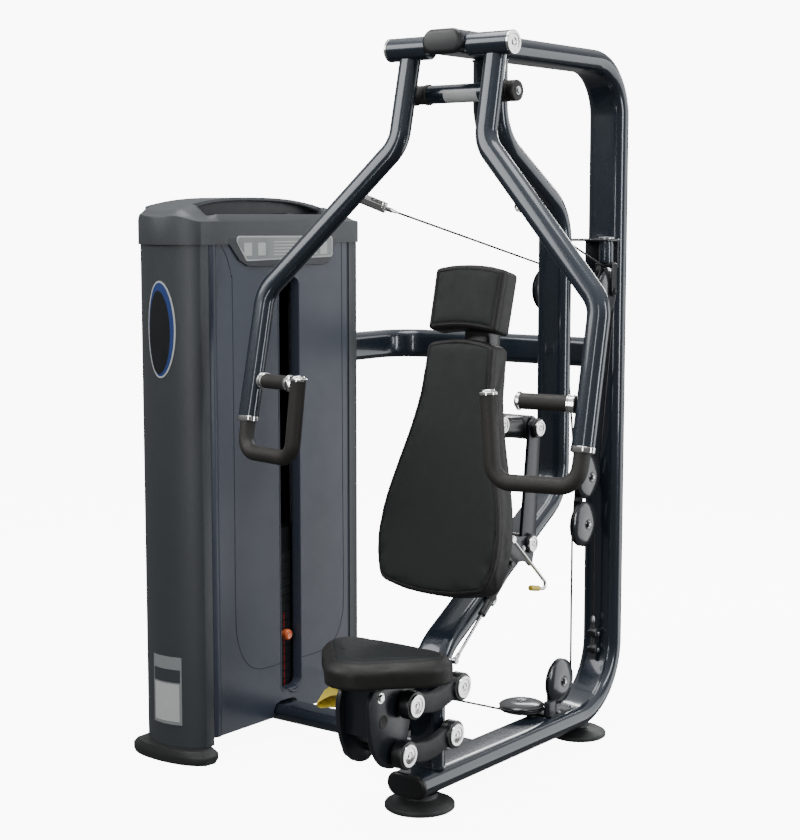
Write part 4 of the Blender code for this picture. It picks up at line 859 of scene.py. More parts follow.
over = arc(BLOCK_LOWER, (0, 1, 0), (0, 0, 1), REACH, 0.0, math.pi, 36)
show("cable_over_block", cable_form(over), CORD, "block", "drive_cable")
run_z = TURN.z - REACH
run_y = FLAT.y - REACH
strand("cable_to_anchor", over[0], END)
strand("cable_to_rail", over[-1], (0, over[-1].y, TURN.z))
corners = [
    (0, over[-1].y, TURN.z), (0, over[-1].y, run_z), (0, run_y, run_z), (TOWER_TOP.x, run_y, run_z),
    (TOWER_TOP.x, run_y, TOWER_TOP.z),
]
down = rounded(corners, (REACH - 0.0001, REACH, REACH), 18)
crest = arc(TOWER_TOP, (0, 1, 0), (0, 0, 1), TOWER_GROOVE + CABLE + SLACK, 0.0, math.pi, 36)
show("cable_along_rail", cable_form(down + crest[1:]), CORD, "frame")
stack_low, stack_high = node_box("lifted_plates")
strand("cable_to_stack", (crest[-1].x, crest[-1].y, stack_high.z), crest[-1])

# Seat ---------------------------------------------------------------------------------------------

SEAT_HEAD = pivot("seat_level").yz
SEAT_REACH = SEAT_HEAD - SEAT_UPPER.yz


def dipped_outline(first, second, half, dip, steps=16):
    """Outline of a bar that dips between two pins and has round ends."""
    run = second - first
    down = Vector((run.y, -run.x)).normalized()
    if down.y > 0:
        down.negate()
    line = []
    for step in range(steps + 1):
        part = step / steps
        line.append(first + run * part + down * dip * math.sin(math.pi * part) ** 2)
    upper, lower = [], []
    for index in range(1, steps):
        along = (line[index + 1] - line[index - 1]).normalized()
        out = Vector((-along.y, along.x)) * half
        upper.append(tuple(line[index] + out))
        lower.append(tuple(line[index] - out))
    heading = math.atan2(run.y, run.x)
    far = half_turn(second, half, heading, steps)
    near = half_turn(first, half, heading + math.pi, steps)
    return far + upper[::-1] + near + lower


LINK_IN, LINK_OUT = 0.062, 0.086
BARREL = [
    (0, 0), (0.0345, 0), (0.0365, 0.002), (0.0365, 0.0290), (0.0350, 0.0312), (0.0305, 0.0318),
    (0, 0.0318),
]


def link_casting(name, pin, body, node):
    """A dipped cast link on each side of the column, with barrels and shafts at both ends."""
    pin = pin.yz
    head = pin + SEAT_REACH
    outline = dipped_outline(pin, head, 0.0255, 0.016)
    forms = []
    for low, high in ((LINK_IN, LINK_OUT), (-LINK_OUT, -LINK_IN)):
        forms.append(soften(plate(outline, "X", low, high), 0.0050, 3))
    show(name, forms, CASTING, body, node)
    barrels = []
    for y, z in (pin, head):
        barrels.append(cross_rod((y, z), -0.074, 0.074, 0.0100))
        barrels += [turned(BARREL, (sign * LINK_IN, y, z), (sign, 0, 0), 56) for sign in (-1, 1)]
    show(name + "_barrels", barrels, BLACK, body)
    caps = bolted_caps((pin, head), 0.0934, 0.0295, 0.0046, 0.0008, 0.0060, 0.0036)
    show(name + "_caps", caps, CHROME, body)


link_casting("seat_arm_upper", SEAT_UPPER, "upper_link", "seat_upper_link")
link_casting("seat_arm_lower", SEAT_LOWER, "lower_link", "seat_lower_link")
side_plan = [
    (-1.022, 0.378), (-1.100, 0.380), (-1.172, 0.378), (-1.202, 0.345), (-1.203, 0.285), (-1.185, 0.220),
    (-1.146, 0.173), (-1.095, 0.161), (-1.064, 0.184), (-1.046, 0.240), (-1.028, 0.310),
]
side_plan = smooth_loop(side_plan, 100)
seat_low, seat_high = node_box("seat_pad")
WEB_IN, WEB_OUT = 0.040, 0.054
forms = both_sides(side_plan, WEB_IN, WEB_OUT, 0.0015)
forms.append(soften(block((-0.060, -1.190, 0.372), (0.060, -1.030, seat_low.z - 0.0004)), 0.002))
forms.append(soften(block((-0.045, -1.180, 0.250), (0.045, -1.168, 0.376)), 0.002))
show("seat_bracket", forms, PLATE_PAINT, "carriage", "seat_carriage")
bolts, holes = [], []
plug = [(0, 0), (0.0150, 0), (0.0165, 0.0008), (0.0150, 0.0016), (0.0130, 0.0010), (0, 0.0010)]
for sign in (-1, 1):
    bolts += hex_bolt((sign * WEB_OUT, -1.160, 0.352), (sign, 0, 0), 0.0095, 0.0060)
    holes.append(turned(plug, (sign * WEB_OUT, -1.150, 0.290), (sign, 0, 0), 36))
show("seat_bracket_bolts", bolts, CHROME, "carriage")
show("seat_bracket_holes", holes, RUBBER, "carriage")

# The release strap is a folded loop of webbing on a hinge under the seat.
FOLD_RADIUS = 0.0085
HINGE = Vector((-0.066, -1.140, 0.345))
fold = []
for step in range(17):
    turn = math.pi * (step / 16 - 0.5)
    fold.append((-0.1600 - FOLD_RADIUS * math.cos(turn), FOLD_RADIUS * math.sin(turn)))
loop = [(-0.078, -0.0260), (-0.104, -0.0230), (-0.135, -0.0135)] + fold
loop += [(-0.130, 0.0150), (-0.098, 0.0185), (-0.064, 0.0120)]
place = Matrix.Translation(HINGE)
for turn, axis in ((9, "Z"), (32, "X"), (-27, "Y")):
    place = place @ Matrix.Rotation(math.radians(turn), 4, axis)
route = [place @ Vector((x - HINGE.x, 0, height)) for x, height in loop]
form = sweep(route, stadium(0.048, 0.0028, 5), place.to_3x3() @ Vector((0, 1, 0)))
show("release_strap", form, YELLOW, "flap", "seat_release", smooth=50)

# Back rest linkage --------------------------------------------------------------------------------

BACK_TOP = pivot("back_level").yz
BACK_REACH = BACK_TOP - BACK_PIN.yz
GUIDE_TOP = BACK_GUIDE.yz + BACK_REACH
LEVER = pivot("lever_pull").yz
SPRING_TOP = Vector((-0.6275, 0.605))


PAD_TOP_Y, PAD_TOP_Z, PAD_LEAN = -0.753, 1.196, 0.2105


def face_y(z):
    """Y of the back rest's front face at a height."""
    return PAD_TOP_Y - (PAD_TOP_Z - z) * PAD_LEAN


def collars(spots, foot, length):
    """A turned collar on both sides of the pins at some (y, z) spots."""
    ends = [(sign, y, z) for y, z in spots for sign in (-1, 1)]
    return [stub((sign * foot, y, z), (sign, 0, 0), length, 0.0265, 0.0015, 44) for sign, y, z in ends]


forms = both_sides(link_outline(BACK_PIN.yz, BACK_TOP, 0.0365, 0.0275, 18), 0.0545, 0.0645, 0.0016)
tail = [
    (-0.500, 0.655), (-0.500, 0.590), (-0.513, 0.579), (-0.535, 0.594), (-0.558, 0.5985),
    (-0.588, 0.596),
]
tail += [(-0.612, 0.588), (-0.634, 0.592), (-0.644, 0.606), (-0.648, 0.670), (-0.632, 0.690), (-0.590, 0.672)]
forms.append(soften(plate(smooth_loop(tail, 60), "X", 0.0640, 0.0700), 0.0012, 2, 60))
forms.append(cross_rod(BACK_TOP, -0.060, 0.060, 0.0138))
show("rocker_plates", forms, PLATE_PAINT, "rocker", "back_rocker")
rocker_pins = (BACK_PIN.yz, BACK_TOP)
show("rocker_barrels", collars(rocker_pins, 0.0640, 0.0125), BLACK, "rocker")
CAP = (0.0225, 0.0062, 0.0016, 0.0055, 0.0040)  # radius and depth, the bolt's sink, its radius and depth
show("rocker_caps", bolted_caps(rocker_pins, 0.0762, *CAP), CHROME, "rocker")
pins = [cross_rod(SPRING_TOP, 0.0650, 0.0755, 0.0060), cross_rod(LEVER, 0.0650, 0.0831, 0.0065)]
show("rocker_studs", pins + hex_bolt((0.0700, -0.548, 0.634), (1, 0, 0), 0.0062, 0.0042), STEEL, "rocker")
guide_pins = (BACK_GUIDE.yz, GUIDE_TOP)
forms = both_sides(link_outline(*guide_pins, 0.0200, 0.0200, 16), 0.0545, 0.0610, 0.0012)
forms += [cross_rod(pin, -0.058, 0.058, 0.0100) for pin in guide_pins]
show("guide_plates", forms, PLATE_PAINT, "guide_rocker", "front_rocker")
ends = [(sign, y, z) for y, z in guide_pins for sign in (-1, 1)]
forms = [cap_disc((sign * 0.0608, y, z), (sign, 0, 0), 0.0150, 0.0048) for sign, y, z in ends]
show("guide_caps", forms, CHROME, "guide_rocker")

# The back rest's frame: a flat spine with an arm to each rocker.
PAD_THICK = 0.072
lean = math.atan(PAD_LEAN)
back_depth = PAD_THICK / math.cos(lean) + 0.0008
UPPER_ARM, LOWER_ARM = 0.975, 0.849


def from_spine(z):
    return Vector((0, face_y(z) + back_depth + 0.006, z + 0.003))


spine = [Vector((0, face_y(z) + back_depth + 0.009, z)) for z in (0.680, 1.310)]
forms = [
    sweep(spine, stadium(0.070, 0.016, 10), (1, 0, 0)),
    soften(block((-0.040, -0.674, 1.182), (0.040, -0.620, 1.262)), 0.004),
    sweep([from_spine(UPPER_ARM), (0, *BACK_TOP)], stadium(0.100, 0.060, 16), (1, 0, 0)),
    cross_rod(BACK_TOP, -0.052, 0.052, 0.033, 0.0015, 44),
    sweep([from_spine(LOWER_ARM), (0, *GUIDE_TOP)], stadium(0.044, 0.030, 12), (0, 0, 1)),
    cross_rod(GUIDE_TOP, -0.0165, 0.0165, 0.0235, 0.001, 36),
]
show("back_spine", forms, BLACK, "back_rest", "back_frame")
arm_pin = [(-0.637, 0.978)]
show("back_arm_barrels", collars(arm_pin, 0.0440, 0.0165), BLACK, "back_rest")
show("back_arm_caps", bolted_caps(arm_pin, 0.0602, *CAP), CHROME, "back_rest")

route = rounded([(0.090, *LEVER), (0.098, -0.452, 0.508), (0.104, -0.561, 0.531)], 0.012, 12)
hub = stub((0.0835, *LEVER), (1, 0, 0), 0.013, 0.0100, 0.001, 36)
forms = [sweep(route, circle(0.0045, 18), (1, 0, 0)), hub]
show("lever_rod", forms, CHROME, "lever", "back_release")
start, tip = Vector((0.1018, -0.520, 0.5223)), Vector((0.1043, -0.568, 0.5325))
profile = [
    (0, 0), (0.0062, 0), (0.0080, 0.0020), (0.0076, 0.012), (0.0082, 0.026), (0.0080, 0.044),
    (0.0060, 0.0480),
    (0, 0.0490),
]
show("lever_grip", turned(profile, start, tip - start, 32), YELLOW, "lever")

# The gas spring, with a ball end on each stud.
spring_foot = Vector((SPRING_FOOT.x, *SPRING_FOOT.yz))
spring_top = Vector((SPRING_FOOT.x, *SPRING_TOP))
along = (spring_top - spring_foot).normalized()
middle = spring_foot.lerp(spring_top, 0.46)


def ball_end(centre, towards):
    socket = [(0, -0.007), (0.0075, -0.007), (0.0090, -0.005), (0.0090, 0.005), (0.0075, 0.007), (0, 0.007)]
    neck = [(0, 0.004), (0.0058, 0.004), (0.0058, 0.020), (0.0045, 0.024), (0, 0.024)]
    return [turned(socket, centre, (1, 0, 0), 32), turned(neck, centre, towards, 28)]


forms = ball_end(spring_foot, along) + [rod(spring_foot, middle + along * 0.088, 0.0042)]
show("spring_piston", forms, STEEL, "spring_rod", "gas_spring_rod")
length = (spring_top - middle).length - 0.018
profile = [
    (0.0046, 0), (0.0095, 0), (0.0108, 0.0015), (0.0108, 0.0060), (0.0104, 0.0070),
    (0.0104, length - 0.003),
    (0.0090, length), (0.0060, length + 0.004), (0.0060, length + 0.010), (0.0046, length + 0.010),
]
forms = [turned(profile, middle, along, 40)] + ball_end(spring_top, -along)
show("spring_cylinder", forms, BLACK, "spring_tube", "gas_spring_tube")
band = [(0.0106, 0), (0.0108, 0.0002), (0.0108, 0.0218), (0.0106, 0.022)]
show("spring_band", turned(band, middle + along * (length * 0.30), along, 40), RUBBER, "spring_tube")

# Weight tower -------------------------------------------------------------------------------------

panel_low, panel_high = node_box("user_panel")
back_low, _ = node_box("back_panel")
SIDE_X, FAR_X = panel_high.x, back_low.x
WALL_TOP, WALL_LOW = panel_high.z, back_low.z
FRONT_Y, REAR_Y, BULGE = -0.985, -0.305, 0.050
MIDDLE_X, MIDDLE_Y = (SIDE_X + FAR_X) / 2, (FRONT_Y + REAR_Y) / 2


def bow(part):
    return math.sin(math.pi * min(max(part, 0.0), 1.0)) ** 0.75


def shroud(corner_y, sign, inset_y, steps=44):
    """Plan of an end shroud as a thin band with rounded shoulders."""
    outer = [(SIDE_X, inset_y)]
    for step in range(steps + 1):
        part = (1 - math.cos(math.pi * step / steps)) / 2
        outer.append((SIDE_X + (FAR_X - SIDE_X) * part, corner_y + sign * BULGE * bow(part)))
    outer.append((FAR_X, inset_y))
    shrink = 1 - 0.008 / (SIDE_X - FAR_X)
    inner = [(MIDDLE_X + (a - MIDDLE_X) * shrink, b if b == inset_y else b - sign * 0.004) for a, b in outer]
    return outer + inner[::-1]


for name, node, corner_y, sign, inset_y in (
        ("shroud_front", "front_shroud", FRONT_Y, -1, FRONT_Y + 0.030),
        ("shroud_rear", "rear_shroud", REAR_Y, 1, -0.341)):
    form = plate(shroud(corner_y, sign, inset_y), "Z", WALL_LOW, WALL_TOP)
    show(name, form, SHROUD, "frame", node, smooth=30)

# User panel: a flat skin with the slot, the arch and a strip moulded round each long edge.
START_Y, END_Y = panel_low.y, -0.3415
slot_low, slot_high = (-0.664, 0.134), (-0.576, 1.353)
SKIN = 0.004


def ring_points(low, high, radii, steps=8):
    """A rounded rectangle in Y and Z. radii are low-low, high-low, high-high, low-high."""
    points = []
    corners = (
        (low[0], low[1], 180, radii[0]), (high[0], low[1], 270, radii[1]),
        (high[0], high[1], 0, radii[2]), (low[0], high[1], 90, radii[3]),
    )
    for a, b, first, radius in corners:
        ca = a + radius * (1 if a == low[0] else -1)
        cb = b + radius * (1 if b == low[1] else -1)
        for step in range(steps + 1):
            turn = math.radians(first + 90 * step / steps)
            points.append((ca + radius * math.cos(turn), cb + radius * math.sin(turn)))
    return points


floor_z = WALL_LOW + 0.020
slot_ring = ring_points(slot_low, slot_high, (0.016, 0.020, 0.024, 0.024))
arch_ring = [
    (-0.700, floor_z), (-0.700, 0.080), (-0.690, 0.098), (-0.672, 0.104), (-0.618, 0.104), (-0.600, 0.098),
    (-0.590, 0.080), (-0.590, floor_z),
]
window = [(-0.428, floor_z), (-0.428, 0.140), (-0.402, 0.140), (-0.402, floor_z)]
EDGE_Y = (START_Y + 0.030, END_Y - 0.012)
border = [(EDGE_Y[0], floor_z)] + arch_ring + window
border += [(EDGE_Y[1], floor_z), (EDGE_Y[1], WALL_TOP), (EDGE_Y[0], WALL_TOP)]


def holed_plate(outside, holes, x_front, thick):
    """A flat plate facing +X with holes through it."""
    form = bmesh.new()
    edges = []
    for outline in [outside] + holes:
        verts = [form.verts.new((x_front, y, z)) for y, z in outline]
        edges += [form.edges.new((verts[index - 1], vert)) for index, vert in enumerate(verts)]
    bmesh.ops.triangle_fill(form, edges=edges, use_beauty=True, normal=(1, 0, 0))
    grown = bmesh.ops.extrude_face_region(form, geom=list(form.faces))["geom"]
    verts = [item for item in grown if isinstance(item, bmesh.types.BMVert)]
    bmesh.ops.translate(form, verts=verts, vec=(-thick, 0, 0))
    return form


forms = [holed_plate(border, [slot_ring], SIDE_X, SKIN)]
crest = [(SIDE_X - SKIN, START_Y), (SIDE_X - 0.0035, START_Y)]
for step in range(15):
    part = step / 14
    swell = 0.0075 * math.sin(math.pi * min(part * 1.25, 1) / 2) ** 0.8
    fall = 0.0040 * max(0, (part - 0.45) / 0.55) ** 1.5
    crest.append((SIDE_X - 0.0035 + swell - fall, START_Y + 0.0015 + 0.0290 * part))
crest += [(SIDE_X - SKIN, START_Y + 0.0305)]
edge = [
    (SIDE_X - SKIN, END_Y - 0.0125), (SIDE_X, END_Y - 0.0125), (SIDE_X - 0.0006, END_Y - 0.006),
    (SIDE_X - 0.0025, END_Y - 0.001), (SIDE_X - SKIN, END_Y),
]
forms += [plate(profile, "Z", floor_z, WALL_TOP) for profile in (crest, edge)]
show("panel_skin", forms, PANEL, "frame", "user_panel", smooth=30)

LINING = (  # (out of the panel, growth) round the slot's lining
    (0.0004, 0.0045), (0.0016, 0.0030), (0.0014, 0.0008), (-0.0020, -0.0006),
    (-0.0300, -0.0020), (-0.0300, 0.0010),
)
rings = []
for out, grow in LINING:
    ring = ring_points((slot_low[0] - grow, slot_low[1] - grow), (slot_high[0] + grow, slot_high[1] + grow),
                       (0.018, 0.022, 0.026, 0.026))
    rings.append([(SIDE_X + out, y, z) for y, z in ring])
show("slot_channel", loft(rings, capped=False), PANEL, "frame", smooth=30)
lip = ((0.0010, -0.640, 0.1365), (0.0022, -0.622, 0.1240), (0.0026, -0.598, 0.1240), (0.0016, -0.578, 0.1420))
LIP_STEPS = 24
scales = [0.35 + 0.65 * math.sin(math.pi * step / (LIP_STEPS - 1)) for step in range(LIP_STEPS)]
line = smooth_line([(SIDE_X + out, y, z) for out, y, z in lip], LIP_STEPS)
show("slot_lip", sweep(line, circle(0.0040, 14), (1, 0, 0), scales), PANEL, "frame")

# The panel's grooves are thin dark cords laid on its skin: their dark colour is painted shade in the grooves.
GROOVES = (
    [(-0.905, 1.4505), (-0.880, 1.412), (-0.864, 1.362), (-0.860, 1.300), (-0.860, 0.700), (-0.860, 0.384),
     (-0.845, 0.298), (-0.812, 0.246), (-0.770, 0.223), (-0.716, 0.217), (-0.668, 0.218)],
    [(-0.376, 1.4505), (-0.375, 1.100), (-0.374, 0.700), (-0.373, 0.370), (-0.384, 0.295), (-0.412, 0.246),
     (-0.455, 0.223), (-0.510, 0.217), (-0.570, 0.217)],
)
for index, points in enumerate(GROOVES):
    line = smooth_line([(SIDE_X - 0.0004, y, z) for y, z in points], 90)
    show(f"panel_groove_{index + 1}", sweep(line, circle(0.0013, 8), (1, 0, 0)), GROOVE_SHADE, "frame")
form = soften(block((FAR_X, START_Y, WALL_LOW), (FAR_X + SKIN, END_Y, WALL_TOP)), 0.0008, 1)
show("panel_far", form, PANEL, "frame", "back_panel")

# Foot castings and the base inside.
foot_plan = [(-0.962, -0.345), (-0.958, -0.270), (-0.925, -0.248), (-0.880, -0.234), (-0.815, -0.228)]
foot_plan += [(-0.750, -0.234), (-0.705, -0.248), (-0.672, -0.270), (-0.668, -0.305), (-0.690, -0.340)]
arc_points = smooth_line([(a, b, 0) for a, b in foot_plan[1:8]], 30)
foot_plan = [foot_plan[0]] + [(p.x, p.y) for p in arc_points] + foot_plan[8:]
FOOT_STEPS = (  # (height, scale)
    (0.0, 0.985), (0.003, 1.0), (0.0205, 1.0), (0.0225, 0.988), (0.0385, 0.865), (0.0395, 0.850),
)
forms = []
for end in (-1, 1):
    plan = [Vector((a, MIDDLE_Y - end * (MIDDLE_Y - b))) for a, b in foot_plan]
    centre = sum(plan, Vector((0, 0))) / len(plan)
    rings = []
    for z, size in FOOT_STEPS:
        rings.append([(*(centre + (spot - centre) * size), z) for spot in plan])
    forms.append(loft(rings))
forms.append(block((-0.870, -1.000, 0.050), (-0.750, -0.290, 0.100)))
for end in (-1, 1):
    neck = MIDDLE_Y + end * 0.330
    forms.append(block((-0.865, neck - 0.022, 0.030), (-0.755, neck + 0.022, 0.056)))
show("tower_feet", forms, FOOT, "frame", "tower_base", smooth=28)

# Cap: a moulded tray with a bridge over it and a raised block at each end.
CAP_LOW = WALL_TOP + 0.0004
cap_low, cap_high = node_box("top_cap")
CAP_HALF = (cap_high.x - cap_low.x) / 2


def cap_end(part, sign):
    corner = FRONT_Y - 0.002 if sign < 0 else REAR_Y + 0.002
    return corner + sign * (BULGE + 0.004) * bow(part)


def arch_z(y):
    place = abs((y + 0.675) / 0.392)
    return 1.529 + 0.053 * (1 - min(place, 1.0) ** 2.5)


def ease(value, low, high):
    share = min(max((value - low) / (high - low), 0.0), 1.0)
    return share * share * (3 - 2 * share)


def cap_top(x, y, front, rear):
    """Height of the cap's top surface without the bridge."""
    inset = min(y - front, rear - y)
    raised = ease(SIDE_X - x, -0.006, 0.070) * ease(x - FAR_X, -0.006, 0.030)
    block_z = 1.514 + (arch_z(y) - 1.514) * raised - 0.010 * (1 - ease(inset, 0.0, 0.030)) * raised
    near_wall = 1.514 + 0.020 * ease(SIDE_X - x, -0.005, 0.012)
    tray = near_wall + (1.500 - near_wall) * ease(SIDE_X - x, 0.020, 0.032)
    tray_share = ease(y, -0.945, -0.900) * ease(-y, 0.375, 0.415)
    return block_z + (tray - block_z) * tray_share


across, lengthwise = 46, 110
form = bmesh.new()
grid = []
for i in range(across + 1):
    part = i / across
    x = MIDDLE_X + CAP_HALF * (1 - 2 * part)
    front, rear = cap_end(part, -1), cap_end(part, 1)
    row = []
    for j in range(lengthwise + 1):
        y = front + (rear - front) * j / lengthwise
        row.append(form.verts.new((x, y, cap_top(x, y, front, rear))))
    grid.append(row)
for first, second in zip(grid, grid[1:]):
    for j in range(lengthwise):
        form.faces.new((first[j], second[j], second[j + 1], first[j + 1]))
rim = grid[0] + [row[-1] for row in grid[1:]] + grid[-1][-2::-1] + [row[0] for row in grid[-2:0:-1]]
LEDGE, FLARE = 0.004, 0.0012
levels = [rim, [], []]
for vert in rim:
    x, y, z = vert.co
    out = Vector((x - MIDDLE_X, (y - MIDDLE_Y) * 0.3)).normalized() * FLARE
    for level, height in zip(levels[1:], (z - LEDGE, CAP_LOW)):
        level.append(form.verts.new((x + out.x, y + out.y, height)))
join_rings(form, levels, capped=False)
form.faces.new(levels[-1])
show("cap_tray", form, SHROUD, "frame", "top_cap", smooth=32)
BRIDGE_START, BRIDGE_END, BRIDGE_STEPS = -0.972, -0.335, 60
outer, inner = [], []
for step in range(BRIDGE_STEPS + 1):
    y = BRIDGE_START + (BRIDGE_END - BRIDGE_START) * step / BRIDGE_STEPS
    outer.append((y, arch_z(y) + 0.0004))
    inner.append((y, arch_z(y) - 0.0105 - 0.020 * (abs(step - 30) / 30) ** 6))
form = soften(plate(outer + inner[::-1], "X", FAR_X + 0.004, -0.778), 0.0035, 3, 50)
show("cap_bridge", form, SHROUD, "frame", smooth=32)
recess = [(y, z - 0.002) for y, z in outer[3:-3]] + [(outer[-4][0], 1.498), (outer[3][0], 1.498)]
show("cap_recess", plate(recess, "X", -0.812, -0.808), SHROUD, "frame", smooth=32)
screw = [
    (0, 0.0006), (0.0050, 0.0006), (0.0056, 0.0030), (0.0086, 0.0034), (0.0092, 0.0006),
    (0.0092, -0.004), (0, -0.004),
]
forms = [turned(screw, (-0.765, y, z), (0.3, 0.0, 0.95), 36) for y, z in ((-0.985, 1.5330), (-0.300, 1.5290))]
show("cap_screws", forms, BLACK, "frame")


def soft_corners(start, corners, end, radius, steps):
    """An outline in Y and Z with its corners rounded, from one point round to another."""
    return [(p.y, p.z) for p in rounded([(0, *spot) for spot in (start, *corners, end)], radius, steps)]


tab = [
    (-0.882, 1.470), (-0.878, 1.453), (-0.835, 1.406), (-0.800, 1.389), (-0.765, 1.386), (-0.470, 1.386),
    (-0.446, 1.392), (-0.428, 1.412), (-0.408, 1.450), (-0.404, 1.470),
]
ring = soft_corners(tab[-1], tab, tab[0], 0.006, 5)[1:-1]
form = soften(plate(ring, "X", SIDE_X - 0.001, SIDE_X + 0.0055), 0.0022, 3, 50)
show("cap_tab", form, SHROUD, "frame", smooth=32)
placard = [Vector(spot) for spot in ((-0.858, 1.474), (-0.425, 1.471), (-0.425, 1.409), (-0.806, 1.403))]
centre = sum(placard, Vector((0, 0))) / 4
for name, shrink, low, high, finish in (
        ("placard_rim", 0.0, 0.0052, 0.0064, LABEL_LIGHT), ("placard_face", 0.0045, 0.0062, 0.0070, LABEL)):
    inset = [spot - Vector([math.copysign(shrink, away) for away in spot - centre]) for spot in placard]
    start = inset[0].lerp(inset[-1], 0.5)
    ring = soft_corners(start, inset, start, 0.012 - shrink * 0.5, 8)[:-1]
    show(name, plate(ring, "X", SIDE_X + low, SIDE_X + high), finish, "frame")
MARK = (SIDE_X + 0.0068, SIDE_X + 0.0073)
MARK_Z = 1.418
boxes = [(y - 0.016, MARK_Z, y + 0.016, MARK_Z + 0.036) for y in (-0.800, -0.742, -0.468)]
for step in range(5):
    z = MARK_Z + 0.009 * step
    boxes.append((-0.690, z, -0.500 - 0.012 * (step % 3), z + 0.003))
marks = [block((MARK[0], y0, z0), (MARK[1], y1, z1)) for y0, z0, y1, z1 in boxes]
show("placard_marks", marks, LABEL_LIGHT, "frame")


def bowed_plate(name, columns, lift, thick, finish):
    """A closed plate that follows the front shroud's bow, from (x, low, high) columns."""
    rings = []
    for x, low, high in columns:
        y = FRONT_Y - BULGE * bow((SIDE_X - x) / (SIDE_X - FAR_X)) - lift
        rings.append([(x, y, low), (x, y, high), (x, y + thick, high), (x, y + thick, low)])
    show(name, loft(rings), finish, "frame")


def straight_columns(low, high, count=12):
    return [(low[0] + (high[0] - low[0]) * step / count, low[1], high[1]) for step in range(count + 1)]


def oval_columns(middle_x, middle_z, half_wide, half_high, count=36):
    columns = []
    for step in range(count + 1):
        turn = math.pi * (0.01 + 0.98 * step / count)
        rise = half_high * math.sin(turn)
        columns.append((middle_x - half_wide * math.cos(turn), middle_z - rise, middle_z + rise))
    return columns


bowed_plate("notice_plate", straight_columns((-0.862, 0.103), (-0.758, 0.298)), 0.0008, 0.0016, LABEL)
bowed_plate("notice_band", straight_columns((-0.858, 0.225), (-0.762, 0.262)), 0.0014, 0.0012, SHROUD)
bowed_plate("notice_sheet", straight_columns((-0.855, 0.112), (-0.765, 0.220)), 0.0014, 0.0012, LABEL_LIGHT)
bowed_plate("badge_rim", oval_columns(-0.810, 1.218, 0.0500, 0.1340), 0.0010, 0.0020, LABEL_LIGHT)
bowed_plate("badge_face", oval_columns(-0.810, 1.218, 0.0455, 0.1290), 0.0016, 0.0016, BLUE)
bowed_plate("badge_centre", oval_columns(-0.814, 1.210, 0.0380, 0.1150), 0.0022, 0.0016, BLACK)

# What the slot shows.
for side in ("front", "rear"):
    low, high = node_box(f"guide_rod_{side}")
    x, y = (low.x + high.x) / 2, (low.y + high.y) / 2
    form = rod((x, y, low.z), (x, y, high.z), (high.x - low.x) / 2, 0.001, 36)
    show(f"slide_rod_{side}", form, SLIDE, "frame", f"guide_rod_{side}")
for node, finish in (("tower_crown", BLACK), ("lifted_plates", IRON), ("resting_plates", IRON)):
    dress(node, finish)
pin_low, pin_high = node_box("selector_pin")
pin_foot = (pin_low.x, *((pin_low + pin_high) / 2).yz)
knob = [
    (0, 0.036), (0.0090, 0.036), (0.0120, 0.0375), (0.0125, 0.040), (0.0150, 0.0430), (0.0165, 0.047),
    (0.0165, 0.056), (0.0150, 0.0600), (0.0110, 0.0630), (0.0080, 0.0625), (0, 0.0615),
]
show("pin_knob", turned(knob, pin_foot, (1, 0, 0), 44), ORANGE, "pin", "selector_pin")
show("pin_shank", stub(pin_foot, (1, 0, 0), 0.037, 0.0052, 0.0008, 28), STEEL, "pin")

# Stickers on the plates. The six below the pin stay with the frame.
PLATES, RESTING, PLATE_PITCH, FIRST_PLATE_Z = 16, 6, 0.0255, 0.127
STICKER = (stack_low.x + 0.100, stack_low.x + 0.1005)
TONES = {"yellow": YELLOW, "white": LABEL_LIGHT, "red": RED}
marks = {(tone, body): [] for body in ("stack", "frame") for tone in TONES}
for index in range(PLATES):
    z = FIRST_PLATE_Z + index * PLATE_PITCH
    body = "frame" if index < RESTING else "stack"
    tone = "yellow" if z > 0.355 else "white"
    for y, wide in ((-0.6500, 0.013), (-0.6330, 0.007)):
        marks[tone, body].append(block((STICKER[0], y, z + 0.0070), (STICKER[1], y + wide, z + 0.0165)))
    if z < 0.340:
        marks["red", body].append(block((STICKER[0], -0.6080, z + 0.0010), (STICKER[1], -0.6040, z + 0.0230)))
for (tone, body), forms in marks.items():
    if forms:
        show(f"stack_marks_{tone}_{body}", forms, TONES[tone], body)

# Pads ---------------------------------------------------------------------------------------------


def even_loop(lines, samples, passes):
    """A closed outline through several joined lines, evenly spaced, with its corners eased."""
    points = [Vector(spot) for line in lines for spot in line[:-1]]
    lengths = [(points[(k + 1) % len(points)] - points[k]).length for k in range(len(points))]
    total = sum(lengths)
    out, index, walked = [], 0, 0.0
    for sample in range(samples):
        goal = total * sample / samples
        while walked + lengths[index] < goal:
            walked += lengths[index]
            index += 1
        out.append(points[index].lerp(points[(index + 1) % len(points)], (goal - walked) / lengths[index]))
    for _ in range(passes):
        out = [(out[k - 1] + out[k] * 2 + out[(k + 1) % samples]) / 4 for k in range(samples)]
    return out


def smooth_pairs(points, samples):
    return [p.xy for p in smooth_line([(a, b, 0) for a, b in points], samples)]


def inset_loop(outline, distance):
    out = []
    count = len(outline)
    for index, spot in enumerate(outline):
        along = (outline[(index + 1) % count] - outline[index - 1]).normalized()
        out.append(spot + Vector((-along.y, along.x)) * distance)
    return out


def distances(points, outline):
    """How far each (u, v) point is from the outline."""
    first = np.array([tuple(spot) for spot in outline])
    run = np.roll(first, -1, axis=0) - first
    best = np.full(len(points), 1e9)
    for start, step in zip(first, run):
        share = np.clip(((points - start) @ step) / max(step @ step, 1e-12), 0, 1)
        best = np.minimum(best, np.linalg.norm(points - start - share[:, None] * step, axis=1))
    return best


